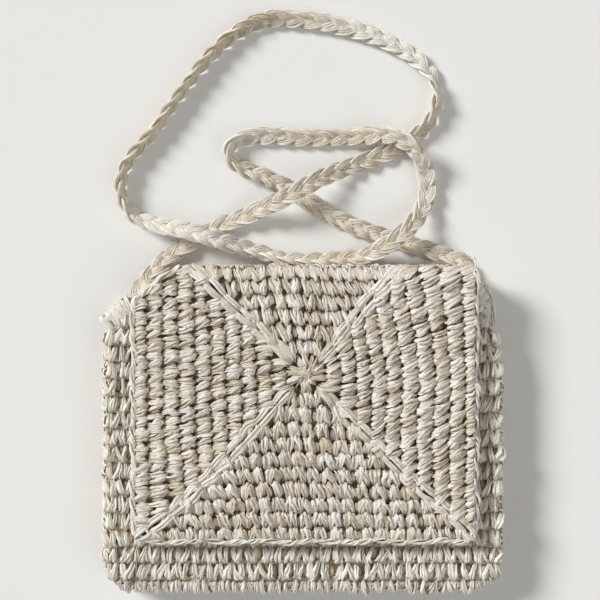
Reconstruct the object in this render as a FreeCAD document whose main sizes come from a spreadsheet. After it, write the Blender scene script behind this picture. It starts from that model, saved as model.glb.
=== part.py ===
"""Crocheted raffia crossbody purse, lying on its back: +Z up, +Y towards the fold of the flap.

The origin is below the middle of the purse, on the surface that it lies on. Millimetres.
"""
import FreeCAD, Part
import math
import os
import Sketcher

Vector = FreeCAD.Vector

SIZES = {
    "bag_width": 260,  # over the stitching at both sides
    "bag_height": 210,  # from the fold of the flap to the stitching at the bottom
    "corner_radius": 22,
    "left_shoulder_run": 49.5,  # how far the left shoulder cuts in along the top
    "left_shoulder_drop": 43,
    "right_shoulder_run": 24.5,
    "right_shoulder_drop": 61,
    "panel_thickness": 5,
    "gusset_depth": 16,
    "gusset_wall": 5,
    "band_thickness": 6,
    "mouth_width": 18,  # from the band to the front panel's top edge
    "mouth_edging_diameter": 5,
    "seam_height": 1.5,
    "seam_width": 3,
    "flap_side_margin": 19,  # from the bag's side to the flap's, with the flap in the middle
    "flap_bottom_margin": 32.5,  # from the bag's bottom to the flap's
    "flap_shift": 1,  # the flap's middle lies this far to the right
    "flap_thickness": 6,
    "flap_clearance": 0.4,
    "flap_corner_radius": 10,
    "flap_shoulder_run": 30.5,
    "flap_shoulder_drop": 21.5,
    "flap_edging_width": 4,
    "rounds_drop": 67,  # from the fold to the middle of the flap's rounds
    "rounds_centre": 13,  # from that middle to the first round
    "rounds_height": 3,
    "rounds_flank": 2.2,  # how far each side of a round leans in
    "rounds_gap": 1.6,  # at the bottom, between one round and the next
    "rounds_fold_gap": 1,  # from the rounds to the band's far face, when the flap is open
    "lining_thickness": 0.8,
    "pocket_width": 110,
    "pocket_height": 90,
    "pocket_lift": 12,  # from the lining's bottom to the pocket
    "pocket_thickness": 0.8,
    "binding_width": 8,
    "binding_thickness": 0.6,
    "snap_margin": 27.5,  # from the flap's bottom edge to the snap's centre
    "snap_diameter": 18,
    "snap_thickness": 2.2,
    "snap_patch_diameter": 24,
    "snap_patch_thickness": 0.8,
    "snap_fit": 0.3,  # all round each snap half in its recess
    "stud_diameter": 5,
    "stud_length": 1.7,
    "stud_fit": 0.6,  # all round the stud in its socket
    "anchor_length": 16,
    "anchor_width": 9,
    "anchor_height": 22,
    "left_anchor_offset": 8,  # from the left shoulder's lower end
    "right_anchor_offset": 12,  # from the right shoulder's upper end
    "strap_diameter": 7,
}

# Outline values that several pieces share, written as expressions of the sheet's cells.
HALF_WIDTH = "(sizes.bag_width / 2 - sizes.seam_height)"
TOP = "(sizes.bag_height / 2)"
BOTTOM = "(sizes.seam_height - sizes.bag_height / 2)"
BAND_LEFT = f"(sizes.left_shoulder_run - {HALF_WIDTH})"
BAND_RIGHT = f"({HALF_WIDTH} - sizes.right_shoulder_run)"
BAND_FACE = f"({TOP} - sizes.band_thickness)"
MOUTH_EDGE = f"({BAND_FACE} - sizes.mouth_width)"
GUSSET_TOP = "(sizes.panel_thickness + sizes.gusset_depth)"
FRONT_TOP = f"({GUSSET_TOP} + sizes.panel_thickness)"
FLAP_BOTTOM = f"({FRONT_TOP} + sizes.flap_clearance)"
HINGE_Y = f"({TOP} - sizes.flap_thickness / 2)"
HINGE_Z = f"({FLAP_BOTTOM} + sizes.flap_thickness / 2)"
FLAP_LEFT = "(sizes.flap_shift + sizes.flap_side_margin - sizes.bag_width / 2)"
FLAP_RIGHT = "(sizes.flap_shift - sizes.flap_side_margin + sizes.bag_width / 2)"
FLAP_END = "(sizes.flap_bottom_margin - sizes.bag_height / 2)"
FLAP_FACE = f"({FLAP_BOTTOM} + sizes.flap_thickness)"
ROUNDS_Y = f"({HINGE_Y} - sizes.rounds_drop)"
ROUNDS_TOP = f"({HINGE_Y} - sizes.flap_thickness / 2 - sizes.rounds_fold_gap)"
SNAP_Y = f"({FLAP_END} + sizes.snap_margin)"
SNAP_DEPTH = "(sizes.snap_thickness + sizes.snap_patch_thickness)"
RECESS_RADIUS = "sizes.snap_patch_diameter / 2 + sizes.snap_fit"
LINING_INSET = "(sizes.gusset_wall + sizes.lining_thickness)"
LINING_TOP_INSET = "(sizes.band_thickness + sizes.lining_thickness)"
LEFT_ANGLE = "atan(sizes.left_shoulder_run / sizes.left_shoulder_drop)"
RIGHT_ANGLE = "atan(sizes.right_shoulder_run / sizes.right_shoulder_drop)"
POCKET_BOTTOM = f"({BOTTOM} + {LINING_INSET} + sizes.pocket_lift)"
POCKET_FACE = "(sizes.panel_thickness + sizes.lining_thickness)"

# The strap's route, from its left wrap to its right one: points of straight runs joined by arcs.
# It crosses itself four times, and its upper length goes over in a hump each time.
STRAP_ROUTE = [
    (-113.6, 80.8, 10),
    (-103, 97.5, 7),
    (-86, 114, 3.5),
    (-63, 128, 3.5),
    (-39, 138, 4.5),
    (-16, 147, 17.5),
    (3, 158, 17.5),
    (28, 170, 4.5),
    (60, 181, 3.5),
    (85, 198, 3.5),
    (90, 223, 3.5),
    (74, 244, 3.5),
    (44, 259, 3.5),
    (8, 267, 3.5),
    (-27, 269, 3.5),
    (-54, 252, 3.5),
    (-77, 224, 3.5),
    (-98, 193, 3.5),
    (-116, 174, 3.5),
    (-120.5, 158, 3.5),
    (-116, 142.5, 3.5),
    (-104, 133.5, 4.5),
    (-77, 129, 17.5),
    (-56, 122, 17.5),
    (-33, 116, 4.5),
    (-9, 109.2, 3.5),
    (16, 109.6, 3.5),
    (37, 111, 4),
    (53, 117, 17.5),
    (70, 130, 17.5),
    (81, 145, 5.5),
    (82, 165, 5.5),
    (74, 182, 17.5),
    (56, 191.5, 17.5),
    (35, 190.5, 4.5),
    (8, 189, 3.5),
    (-18, 191.2, 3.5),
    (-38, 191, 3.5),
    (-50, 183, 3.5),
    (-45, 171, 3.5),
    (-26, 165, 3.5),
    (-7, 155, 3.5),
    (16, 140, 3.5),
    (44, 127, 3.5),
    (72, 119.6, 3.5),
    (94, 112, 3.5),
    (108, 108.5, 5),
    (112.6, 94.8, 9),
]
ROUNDS = 10  # rounds of stitches from the middle of the flap to its edge
ARC_SHARE = 0.45  # the part of the shorter run that each arc takes up at each end

NODES = (
    "back_panel",
    "front_panel",
    "gusset",
    "top_band",
    "back_seam_stitching",
    "front_seam_stitching",
    "mouth_edging",
    "lining_back",
    "lining_front",
    "lining_gusset",
    "slip_pocket",
    "pocket_binding",
    "flap_panel",
    "flap_edging",
    "snap_socket",
    "snap_socket_patch",
    "snap_stud",
    "snap_stud_patch",
    "strap_anchor_left",
    "strap_anchor_right",
    "strap",
)

doc = FreeCAD.newDocument("crossbody_purse")
sizes = doc.addObject("Spreadsheet::Sheet", "sizes")


def fill_sheet():
    for row, (name, number) in enumerate(SIZES.items(), start=1):
        sizes.set(f"A{row}", name)
        sizes.set(f"B{row}", str(number))
        sizes.setAlias(f"B{row}", name)
    doc.recompute()


def value(expression):
    """The number that an expression of the sheet's cells has now."""
    return float(sizes.evalExpression(expression))


def new_body(label):
    body = doc.addObject("PartDesign::Body", label)
    body.Label = label
    return body


def new_sketch(body, name, role="XY_Plane", lift="0"):
    """An empty sketch on one of the body's own origin planes, lifted along the plane's normal."""
    sketch = body.newObject("Sketcher::SketchObject", name)
    plane = next(f for f in body.Origin.OriginFeatures if f.Role == role)
    sketch.AttachmentSupport = [(plane, "")]
    sketch.MapMode = "FlatFace"
    sketch.setExpression("AttachmentOffset.Base.z", lift)
    return sketch


def bind(sketch, constraint, name, expression):
    """Add a dimension and tie it to the sheet."""
    index = sketch.addConstraint(constraint)
    sketch.renameConstraint(index, name)
    sketch.setExpression(f"Constraints.{name}", expression)


def place_point(sketch, geometry, position, x, y, name):
    """Fix one point of the sketch at two expressions, measured from its origin."""
    for kind, expression, axis in (("DistanceX", x, "x"), ("DistanceY", y, "y")):
        number = value(expression)
        if number >= 0:
            ends = (-1, 1, geometry, position)
            bound = expression
        else:
            ends = (geometry, position, -1, 1)
            bound = f"-({expression})"
        bind(sketch, Sketcher.Constraint(kind, *ends, abs(number)), f"{name}_{axis}", bound)


def corner_cut(before, corner, after, radius):
    """Where a rounding leaves its two edges, and the rounding's centre and sense."""
    into = (before - corner).normalize()
    out = (after - corner).normalize()
    half = into.getAngle(out) / 2
    reach = radius / math.tan(half)
    middle = (into + out).normalize()
    centre = corner + middle * (radius / math.sin(half))
    left_turn = (corner - before).cross(after - corner).z > 0
    return corner + into * reach, corner + out * reach, centre, left_turn


def add_loop(sketch, corners, tag):
    """A closed loop of straight edges. Each corner is (x, y) or (x, y, radius), as expressions."""
    points = [Vector(value(c[0]), value(c[1]), 0) for c in corners]
    count = len(corners)
    ends = []
    for i, corner in enumerate(corners):
        if len(corner) == 3:
            cut = corner_cut(points[i - 1], points[i], points[(i + 1) % count], value(corner[2]))
            ends.append(cut)
        else:
            ends.append((points[i], points[i], None, None))
    lines = [
        sketch.addGeometry(Part.LineSegment(ends[i][1], ends[(i + 1) % count][0]))
        for i in range(count)
    ]
    for i, corner in enumerate(corners):
        before = lines[i - 1]
        after = lines[i]
        name = f"{tag}{i}"
        if len(corner) == 2:
            sketch.addConstraint(Sketcher.Constraint("Coincident", before, 2, after, 1))
            place_point(sketch, after, 1, corner[0], corner[1], name)
            continue
        start, end, centre, left_turn = ends[i]
        first, last = (start, end) if left_turn else (end, start)
        angles = [math.atan2(p.y - centre.y, p.x - centre.x) for p in (first, last)]
        circle = Part.Circle(centre, Vector(0, 0, 1), (start - centre).Length)
        arc = sketch.addGeometry(Part.ArcOfCircle(circle, *angles))
        start_end, last_end = (1, 2) if left_turn else (2, 1)
        sketch.addConstraint(Sketcher.Constraint("Tangent", before, 2, arc, start_end))
        sketch.addConstraint(Sketcher.Constraint("Tangent", arc, last_end, after, 1))
        radius = Sketcher.Constraint("Radius", arc, (start - centre).Length)
        bind(sketch, radius, f"{name}_r", corner[2])
        point = sketch.addGeometry(Part.Point(points[i]), True)
        sketch.addConstraint(Sketcher.Constraint("PointOnObject", point, 1, before))
        sketch.addConstraint(Sketcher.Constraint("PointOnObject", point, 1, after))
        place_point(sketch, point, 1, corner[0], corner[1], name)


def add_circle(sketch, x, y, radius, name):
    centre = Vector(value(x), value(y), 0)
    circle = sketch.addGeometry(Part.Circle(centre, Vector(0, 0, 1), value(radius)))
    bind(sketch, Sketcher.Constraint("Radius", circle, value(radius)), f"{name}_r", radius)
    place_point(sketch, circle, 3, x, y, name)


def add_pad(body, sketch, length):
    pad = body.newObject("PartDesign::Pad", f"{sketch.Name}_pad")
    pad.Profile = sketch
    pad.setExpression("Length", length)
    doc.recompute()
    return pad


def add_pocket(body, sketch, depth, upwards=False):
    """Cut into the body from the sketch, and make sure that something was cut."""
    volume = body.Shape.Volume
    pocket = body.newObject("PartDesign::Pocket", f"{sketch.Name}_pocket")
    pocket.Profile = sketch
    pocket.Reversed = upwards
    pocket.setExpression("Length", depth)
    doc.recompute()
    if body.Shape.Volume >= volume:
        raise RuntimeError(f"{pocket.Name} cuts nothing")
    return pocket


def add_plate(label, loops, lift, thickness):
    """A flat piece from one or more closed loops."""
    body = new_body(label)
    sketch = new_sketch(body, f"{label}_outline", lift=lift)
    for tag, corners in zip("abc", loops):
        add_loop(sketch, corners, tag)
    doc.recompute()
    add_pad(body, sketch, thickness)
    return body


def left_side_corner(inset):
    """Where the inset left side turns into the left shoulder."""
    y = f"{TOP} - sizes.left_shoulder_drop - {inset} * tan({LEFT_ANGLE} / 2)"
    return (f"{inset} - {HALF_WIDTH}", y)


def right_side_corner(inset):
    y = f"{TOP} - sizes.right_shoulder_drop - {inset} * tan({RIGHT_ANGLE} / 2)"
    return (f"{HALF_WIDTH} - {inset}", y)


def left_top_corner(inset, top_inset):
    """Where the inset left shoulder meets a line that lies top_inset below the top edge."""
    slope = "sizes.left_shoulder_run / sizes.left_shoulder_drop"
    rise = f"(sizes.left_shoulder_drop - {top_inset} + {inset} * tan({LEFT_ANGLE} / 2))"
    return (f"{inset} - {HALF_WIDTH} + {slope} * {rise}", f"{TOP} - {top_inset}")


def right_top_corner(inset, top_inset):
    slope = "sizes.right_shoulder_run / sizes.right_shoulder_drop"
    rise = f"(sizes.right_shoulder_drop - {top_inset} + {inset} * tan({RIGHT_ANGLE} / 2))"
    return (f"{HALF_WIDTH} - {inset} - {slope} * {rise}", f"{TOP} - {top_inset}")


def bottom_corners(inset):
    radius = f"sizes.corner_radius - {inset}"
    return [
        (f"{inset} - {HALF_WIDTH}", f"{BOTTOM} + {inset}", radius),
        (f"{HALF_WIDTH} - {inset}", f"{BOTTOM} + {inset}", radius),
    ]


def pouch_outline(inset="0", top_inset="0"):
    """The pouch seen from the front, anticlockwise from the top's left end, drawn in by an inset."""
    return [
        left_top_corner(inset, top_inset),
        left_side_corner(inset),
        *bottom_corners(inset),
        right_side_corner(inset),
        right_top_corner(inset, top_inset),
    ]


def left_edge_at(y, inset="0"):
    """The x of the left shoulder at a height y, drawn in by an inset."""
    slope = "sizes.left_shoulder_run / sizes.left_shoulder_drop"
    return f"{BAND_LEFT} - ({TOP} - {y}) * {slope} + {inset} / cos({LEFT_ANGLE})"


def right_edge_at(y, inset="0"):
    slope = "sizes.right_shoulder_run / sizes.right_shoulder_drop"
    return f"{BAND_RIGHT} + ({TOP} - {y}) * {slope} - {inset} / cos({RIGHT_ANGLE})"


def make_panels():
    """The back of the pouch, and its front, which stops below the mouth."""
    add_plate("back_panel", [pouch_outline()], "0", "sizes.panel_thickness")
    front = add_plate("front_panel", [pouch_outline()], GUSSET_TOP, "sizes.panel_thickness")
    mouth = new_sketch(front, "front_panel_mouth", lift=FRONT_TOP)
    above = f"{TOP} + sizes.panel_thickness"
    corners = [
        (f"-{HALF_WIDTH} - sizes.panel_thickness", MOUTH_EDGE),
        (f"{HALF_WIDTH} + sizes.panel_thickness", MOUTH_EDGE),
        (f"{HALF_WIDTH} + sizes.panel_thickness", above),
        (f"-{HALF_WIDTH} - sizes.panel_thickness", above),
    ]
    add_loop(mouth, corners, "a")
    doc.recompute()
    add_pocket(front, mouth, "2 * sizes.panel_thickness")
    recess = new_sketch(front, "front_panel_recess", lift=FRONT_TOP)
    add_circle(recess, "sizes.flap_shift", SNAP_Y, RECESS_RADIUS, "snap")
    doc.recompute()
    add_pocket(front, recess, SNAP_DEPTH)


def make_gusset():
    """The strip that goes down the left shoulder, round the bottom and up the right shoulder."""
    inset = "sizes.gusset_wall"
    corners = [
        left_top_corner("0", "0"),
        left_side_corner("0"),
        *bottom_corners("0"),
        right_side_corner("0"),
        right_top_corner("0", "0"),
        (BAND_RIGHT, f"{TOP} - {inset} / sin({RIGHT_ANGLE})"),
        right_side_corner(inset),
        *reversed(bottom_corners(inset)),
        left_side_corner(inset),
        (BAND_LEFT, f"{TOP} - {inset} / sin({LEFT_ANGLE})"),
    ]
    add_plate("gusset", [corners], "sizes.panel_thickness", "sizes.gusset_depth")


def make_top_band():
    """The strip that stands on the back panel's top edge and carries the flap."""
    band = doc.addObject("Part::Box", "top_band")
    band.Label = "top_band"
    band.setExpression("Length", f"{BAND_RIGHT} - {BAND_LEFT}")
    band.setExpression("Width", "sizes.band_thickness")
    band.setExpression("Height", "sizes.gusset_depth + sizes.panel_thickness")
    band.setExpression("Placement.Base.x", BAND_LEFT)
    band.setExpression("Placement.Base.y", BAND_FACE)
    band.setExpression("Placement.Base.z", "sizes.panel_thickness")


def make_seams():
    """The whip stitching that joins the panels to the gusset, below both shoulders."""
    end = f"{TOP} - sizes.right_shoulder_drop"
    outside = "(-sizes.seam_height)"
    corners = [
        (f"{outside} - {HALF_WIDTH}", end),
        *bottom_corners(outside),
        (f"{HALF_WIDTH} - {outside}", end),
        (HALF_WIDTH, end),
        *reversed(bottom_corners("0")),
        (f"-{HALF_WIDTH}", end),
    ]
    half = "sizes.seam_width / 2"
    add_plate("back_seam_stitching", [corners], f"sizes.panel_thickness - {half}", "sizes.seam_width")
    add_plate("front_seam_stitching", [corners], f"{GUSSET_TOP} - {half}", "sizes.seam_width")


def make_mouth_edging():
    """A half-round cord along the front panel's top edge, with its flat side on that edge."""
    left = left_edge_at(MOUTH_EDGE)
    right = right_edge_at(MOUTH_EDGE)
    edging = doc.addObject("Part::Cylinder", "mouth_edging")
    edging.Label = "mouth_edging"
    edging.Angle = 180
    edging.setExpression("Radius", "sizes.mouth_edging_diameter / 2")
    edging.setExpression("Height", f"({right}) - ({left}) - 2 * sizes.mouth_edging_diameter")
    down, up_the_bag, along = Vector(0, 0, -1), Vector(0, 1, 0), Vector(1, 0, 0)
    edging.Placement.Rotation = FreeCAD.Rotation(down, up_the_bag, along, "ZXY")
    edging.setExpression("Placement.Base.x", f"{left} + sizes.mouth_edging_diameter")
    edging.setExpression("Placement.Base.y", MOUTH_EDGE)
    edging.setExpression("Placement.Base.z", f"{GUSSET_TOP} + sizes.panel_thickness / 2")


def make_linings():
    """The cotton lining: a back, a front that stops at the mouth, and a strip round the sides."""
    inner = pouch_outline("sizes.gusset_wall", "sizes.band_thickness")
    add_plate("lining_back", [inner], "sizes.panel_thickness", "sizes.lining_thickness")
    below_mouth = [
        (left_edge_at(MOUTH_EDGE, "sizes.gusset_wall"), MOUTH_EDGE),
        *inner[1:5],
        (right_edge_at(MOUTH_EDGE, "sizes.gusset_wall"), MOUTH_EDGE),
    ]
    under_front = f"{GUSSET_TOP} - sizes.lining_thickness"
    add_plate("lining_front", [below_mouth], under_front, "sizes.lining_thickness")
    hollow = pouch_outline(LINING_INSET, LINING_TOP_INSET)
    depth = "sizes.gusset_depth - 2 * sizes.lining_thickness"
    add_plate("lining_gusset", [inner, hollow], POCKET_FACE, depth)


def make_pocket():
    """The flat pocket on the back lining, and the tape along its top edge."""
    pocket = doc.addObject("Part::Box", "slip_pocket")
    pocket.Label = "slip_pocket"
    pocket.setExpression("Length", "sizes.pocket_width")
    pocket.setExpression("Width", "sizes.pocket_height")
    pocket.setExpression("Height", "sizes.pocket_thickness")
    pocket.setExpression("Placement.Base.x", "-sizes.pocket_width / 2")
    pocket.setExpression("Placement.Base.y", POCKET_BOTTOM)
    pocket.setExpression("Placement.Base.z", POCKET_FACE)
    binding = doc.addObject("Part::Box", "pocket_binding")
    binding.Label = "pocket_binding"
    binding.setExpression("Length", "sizes.pocket_width")
    binding.setExpression("Width", "sizes.binding_width")
    binding.setExpression("Height", "sizes.binding_thickness")
    binding.setExpression("Placement.Base.x", "-sizes.pocket_width / 2")
    pocket_top = f"{POCKET_BOTTOM} + sizes.pocket_height"
    binding.setExpression("Placement.Base.y", f"{pocket_top} - sizes.binding_width")
    binding.setExpression("Placement.Base.z", f"{POCKET_FACE} + sizes.pocket_thickness")


def flap_shoulder_x(y):
    """The x of the flap's sloping left shoulder at a height y."""
    slope = "sizes.flap_shoulder_run / sizes.flap_shoulder_drop"
    return f"{FLAP_LEFT} + sizes.flap_shoulder_run - ({TOP} - {y}) * {slope}"


def round_limits(count, gap):
    """The left, right, lower and upper limits of this many rounds, drawn in by a gap."""
    centre = f"{ROUNDS - count} / {ROUNDS} * sizes.rounds_centre"
    share = f"{count} / {ROUNDS}"
    half_width = f"({centre} + {share} * ({FLAP_RIGHT} - {FLAP_LEFT}) / 2 - {gap})"
    half_height = f"({centre} + {share} * ({ROUNDS_Y} - {FLAP_END}) - {gap})"
    return (
        f"sizes.flap_shift - {half_width}",
        f"sizes.flap_shift + {half_width}",
        f"{ROUNDS_Y} - {half_height}",
        f"{ROUNDS_Y} + {half_height}",
    )


def add_frustum(body, kind, name, count, gap, crest_gap):
    """A frustum added to the flap's face, or cut into its rounds. Its foot and crest have a gap each."""
    frustum = body.newObject(kind, name)
    foot = round_limits(count, gap)
    crest = round_limits(count, crest_gap)
    for number, (left, right, low, high) in (("", foot), ("2", crest)):
        frustum.setExpression(f"X{number}min", left)
        frustum.setExpression(f"X{number}max", right)
        frustum.setExpression(f"Z{number}min", f"-({high})")
        frustum.setExpression(f"Z{number}max", f"-({low})")
    frustum.Ymin = 0
    frustum.setExpression("Ymax", "sizes.rounds_height")
    frustum.Placement.Rotation = FreeCAD.Rotation(Vector(1, 0, 0), 90)
    frustum.setExpression("Placement.Base.z", FLAP_FACE)


def add_rounds(flap, outline):
    """The rounds of stitches: ridges that run round the flap's middle, as far as an outline."""
    foot_gap = "sizes.rounds_gap / 2"
    crest_gap = f"({foot_gap} + sizes.rounds_flank)"
    for count in range(ROUNDS, -1, -1):
        name = f"flap_panel_round_{count}"
        add_frustum(flap, "PartDesign::AdditiveWedge", name, count, foot_gap, crest_gap)
        if count > 0:
            inside = f"{name}_inside"
            gaps = (f"(-{foot_gap})", f"(-{crest_gap})")
            add_frustum(flap, "PartDesign::SubtractiveWedge", inside, count - 1, *gaps)
    crest = f"{FLAP_FACE} + sizes.rounds_height"
    beyond = new_sketch(flap, "flap_panel_rounds_end", lift=crest)
    left, right, low, high = round_limits(ROUNDS, "(-sizes.flap_edging_width)")
    add_loop(beyond, [(left, low), (right, low), (right, high), (left, high)], "a")
    add_loop(beyond, outline, "b")
    doc.recompute()
    add_pocket(flap, beyond, "sizes.rounds_height")


def make_flap():
    """The front of the crochet square. Its top end is round about the fold that it turns on."""
    edge = "sizes.flap_edging_width"
    radius = f"sizes.flap_corner_radius - {edge}"
    rise = f"{edge} * sizes.flap_shoulder_drop / sizes.flap_shoulder_run"
    side_y = f"{TOP} - sizes.flap_shoulder_drop + {rise}"
    corners = [
        (flap_shoulder_x(HINGE_Y), HINGE_Y),
        (f"{FLAP_LEFT} + {edge}", side_y),
        (f"{FLAP_LEFT} + {edge}", f"{FLAP_END} + {edge}", radius),
        (f"{FLAP_RIGHT} - {edge}", f"{FLAP_END} + {edge}", radius),
        (f"{FLAP_RIGHT} - {edge}", HINGE_Y),
    ]
    flap = add_plate("flap_panel", [corners], FLAP_BOTTOM, "sizes.flap_thickness")
    below_fold = [
        (flap_shoulder_x(ROUNDS_TOP), ROUNDS_TOP),
        *corners[1:4],
        (f"{FLAP_RIGHT} - {edge}", ROUNDS_TOP),
    ]
    add_rounds(flap, below_fold)
    fold_left = f"({FLAP_LEFT} + sizes.flap_shoulder_run)"
    fold = new_sketch(flap, "flap_panel_fold", "YZ_Plane", fold_left)
    add_circle(fold, HINGE_Y, HINGE_Z, "sizes.flap_thickness / 2", "fold")
    doc.recompute()
    add_pad(flap, fold, f"{FLAP_RIGHT} - {edge} - {fold_left}")
    recess = new_sketch(flap, "flap_panel_recess", lift=FLAP_BOTTOM)
    add_circle(recess, "sizes.flap_shift", SNAP_Y, RECESS_RADIUS, "snap")
    doc.recompute()
    add_pocket(flap, recess, SNAP_DEPTH, upwards=True)
    edging = [
        (f"{FLAP_RIGHT} - {edge}", HINGE_Y),
        (f"{FLAP_RIGHT} - {edge}", f"{FLAP_END} + {edge}", radius),
        (f"{FLAP_LEFT} + {edge}", f"{FLAP_END} + {edge}", radius),
        (f"{FLAP_LEFT} + {edge}", side_y),
        (FLAP_LEFT, f"{TOP} - sizes.flap_shoulder_drop"),
        (FLAP_LEFT, FLAP_END, "sizes.flap_corner_radius"),
        (FLAP_RIGHT, FLAP_END, "sizes.flap_corner_radius"),
        (FLAP_RIGHT, HINGE_Y),
    ]
    add_plate("flap_edging", [edging], FLAP_BOTTOM, "sizes.flap_thickness")


def disc(name, radius, height, base_z):
    """A round plate on the snap's axis."""
    plate = doc.addObject("Part::Cylinder", name)
    plate.setExpression("Radius", radius)
    plate.setExpression("Height", height)
    plate.setExpression("Placement.Base.x", "sizes.flap_shift")
    plate.setExpression("Placement.Base.y", SNAP_Y)
    plate.setExpression("Placement.Base.z", base_z)
    return plate


def make_snap():
    """The sew-on magnetic snap: its socket in the front panel and its stud in the flap."""
    patch_radius = "sizes.snap_patch_diameter / 2"
    patch = "sizes.snap_patch_thickness"
    disc("snap_socket_patch", patch_radius, patch, f"{FRONT_TOP} - {SNAP_DEPTH}")
    disc("snap_stud_patch", patch_radius, patch, f"{FLAP_BOTTOM} + sizes.snap_thickness")
    socket_base = f"{FRONT_TOP} - sizes.snap_thickness"
    socket = doc.addObject("Part::Cut", "snap_socket")
    socket.Base = disc("socket_disc", "sizes.snap_diameter / 2", "sizes.snap_thickness", socket_base)
    hole_depth = "sizes.stud_length"
    hole_radius = "sizes.stud_diameter / 2 + sizes.stud_fit"
    socket.Tool = disc("socket_hole", hole_radius, hole_depth, f"{FRONT_TOP} - {hole_depth}")
    stud = doc.addObject("Part::Fuse", "snap_stud")
    stud.Base = disc("stud_disc", "sizes.snap_diameter / 2", "sizes.snap_thickness", FLAP_BOTTOM)
    stud_base = f"{FLAP_BOTTOM} - sizes.stud_length"
    stud.Tool = disc("stud_pin", "sizes.stud_diameter / 2", "sizes.stud_length", stud_base)


def make_anchor(label, corner_x, corner_y, direction, offset):
    """A block of wraps on the outside of a shoulder, which runs in a direction from its corner."""
    anchor = doc.addObject("Part::Box", label)
    anchor.Label = label
    anchor.setExpression("Length", "sizes.anchor_length")
    anchor.setExpression("Width", "sizes.anchor_width")
    anchor.setExpression("Height", "sizes.anchor_height")
    anchor.setExpression("Placement.Rotation.Angle", direction)
    anchor.setExpression("Placement.Base.x", f"{corner_x} + {offset} * cos({direction})")
    anchor.setExpression("Placement.Base.y", f"{corner_y} + {offset} * sin({direction})")
    anchor.setExpression("Placement.Base.z", f"({FRONT_TOP} - sizes.anchor_height) / 2")


def make_anchors():
    side = left_side_corner("0")
    up_left_shoulder = f"90 deg - {LEFT_ANGLE}"
    make_anchor("strap_anchor_left", *side, up_left_shoulder, "sizes.left_anchor_offset")
    down_right_shoulder = f"{RIGHT_ANGLE} - 90 deg"
    make_anchor("strap_anchor_right", BAND_RIGHT, TOP, down_right_shoulder, "sizes.right_anchor_offset")


def strap_path(points):
    """Straight runs joined by tangent arcs, each arc as large as its two runs allow."""
    edges = []
    start = points[0]
    for before, corner, after in zip(points, points[1:], points[2:]):
        into = (before - corner).normalize()
        out = (after - corner).normalize()
        half = into.getAngle(out) / 2
        reach = ARC_SHARE * min((before - corner).Length, (after - corner).Length)
        radius = reach * math.tan(half)
        turn = 180 - math.degrees(2 * half)
        place = tuple(round(c, 1) for c in corner)
        print(f"strap arc at {place}: radius {radius:.1f}, turn {turn:.0f}")
        centre = corner + (into + out).normalize() * (radius / math.sin(half))
        middle = centre + (corner - centre).normalize() * radius
        edges.append(Part.LineSegment(start, corner + into * reach).toShape())
        edges.append(Part.Arc(corner + into * reach, middle, corner + out * reach).toShape())
        start = corner + out * reach
    edges.append(Part.LineSegment(start, points[-1]).toShape())
    return Part.Wire(edges)


def make_strap():
    """The strap's tube: a round section swept along the route."""
    radius = value("sizes.strap_diameter / 2")
    points = [Vector(*point) for point in STRAP_ROUTE]
    path = strap_path(points)
    section = Part.Wire(Part.makeCircle(radius, points[0], points[1] - points[0]))
    tube = path.makePipeShell([section], True, False)
    expected = math.pi * radius**2 * path.Length
    print(f"strap: length {path.Length:.1f}, volume {tube.Volume:.0f}, expected {expected:.0f}")
    if abs(tube.Volume / expected - 1) > 0.005:
        raise RuntimeError("the strap's volume isn't its section times its length")
    strap = doc.addObject("Part::Feature", "strap")
    strap.Label = "strap"
    strap.Shape = tube
    strap.Placement = FreeCAD.Placement()


def check_objects():
    for item in doc.Objects:
        if "Invalid" in item.State or "Error" in item.State:
            raise RuntimeError(f"{item.Label} failed: {item.State}")


def write_parts():
    """Write each sub-part that nothing else is built from to its own file."""
    os.makedirs("parts", exist_ok=True)
    for item in doc.Objects:
        if item.Label not in NODES:
            continue
        shape = item.Shape
        if shape.isNull() or not shape.isValid() or len(shape.Solids) != 1:
            raise RuntimeError(f"{item.Label} isn't one valid solid")
        shape.exportStep(f"parts/{item.Label}.step")
        print(f"{item.Label}: {shape.Volume:.0f}")


fill_sheet()
make_panels()
make_gusset()
make_top_band()
make_seams()
make_mouth_edging()
make_linings()
make_pocket()
make_flap()
make_snap()
make_anchors()
make_strap()
doc.recompute()
check_objects()
write_parts()
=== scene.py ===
"""The looks of the crocheted raffia purse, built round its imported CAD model. Metres."""
import math
import bpy
import numpy as np
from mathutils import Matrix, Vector


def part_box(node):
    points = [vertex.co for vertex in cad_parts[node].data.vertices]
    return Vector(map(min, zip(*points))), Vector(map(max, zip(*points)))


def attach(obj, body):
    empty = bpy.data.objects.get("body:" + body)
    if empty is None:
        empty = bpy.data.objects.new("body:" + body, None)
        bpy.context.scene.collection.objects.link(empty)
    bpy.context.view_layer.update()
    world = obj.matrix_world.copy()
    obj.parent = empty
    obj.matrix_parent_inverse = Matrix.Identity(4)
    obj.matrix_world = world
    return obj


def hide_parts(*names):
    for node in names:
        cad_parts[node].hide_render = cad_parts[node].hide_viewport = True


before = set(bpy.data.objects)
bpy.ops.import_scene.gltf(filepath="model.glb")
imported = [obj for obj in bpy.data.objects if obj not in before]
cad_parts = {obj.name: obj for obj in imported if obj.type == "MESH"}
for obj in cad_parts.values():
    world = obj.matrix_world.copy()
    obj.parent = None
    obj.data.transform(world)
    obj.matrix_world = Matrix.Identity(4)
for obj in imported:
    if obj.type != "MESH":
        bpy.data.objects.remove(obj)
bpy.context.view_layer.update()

MM = 0.001  # lengths are worked out in millimetres, and the meshes are made in metres
UP = np.array([0, 0, 1.0])
rng = np.random.default_rng(7)


# ------ meshes

def unit(vectors):
    """The vectors along the last axis, each at length 1."""
    return vectors / np.maximum(np.linalg.norm(vectors, axis=-1, keepdims=True), 1e-9)


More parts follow.
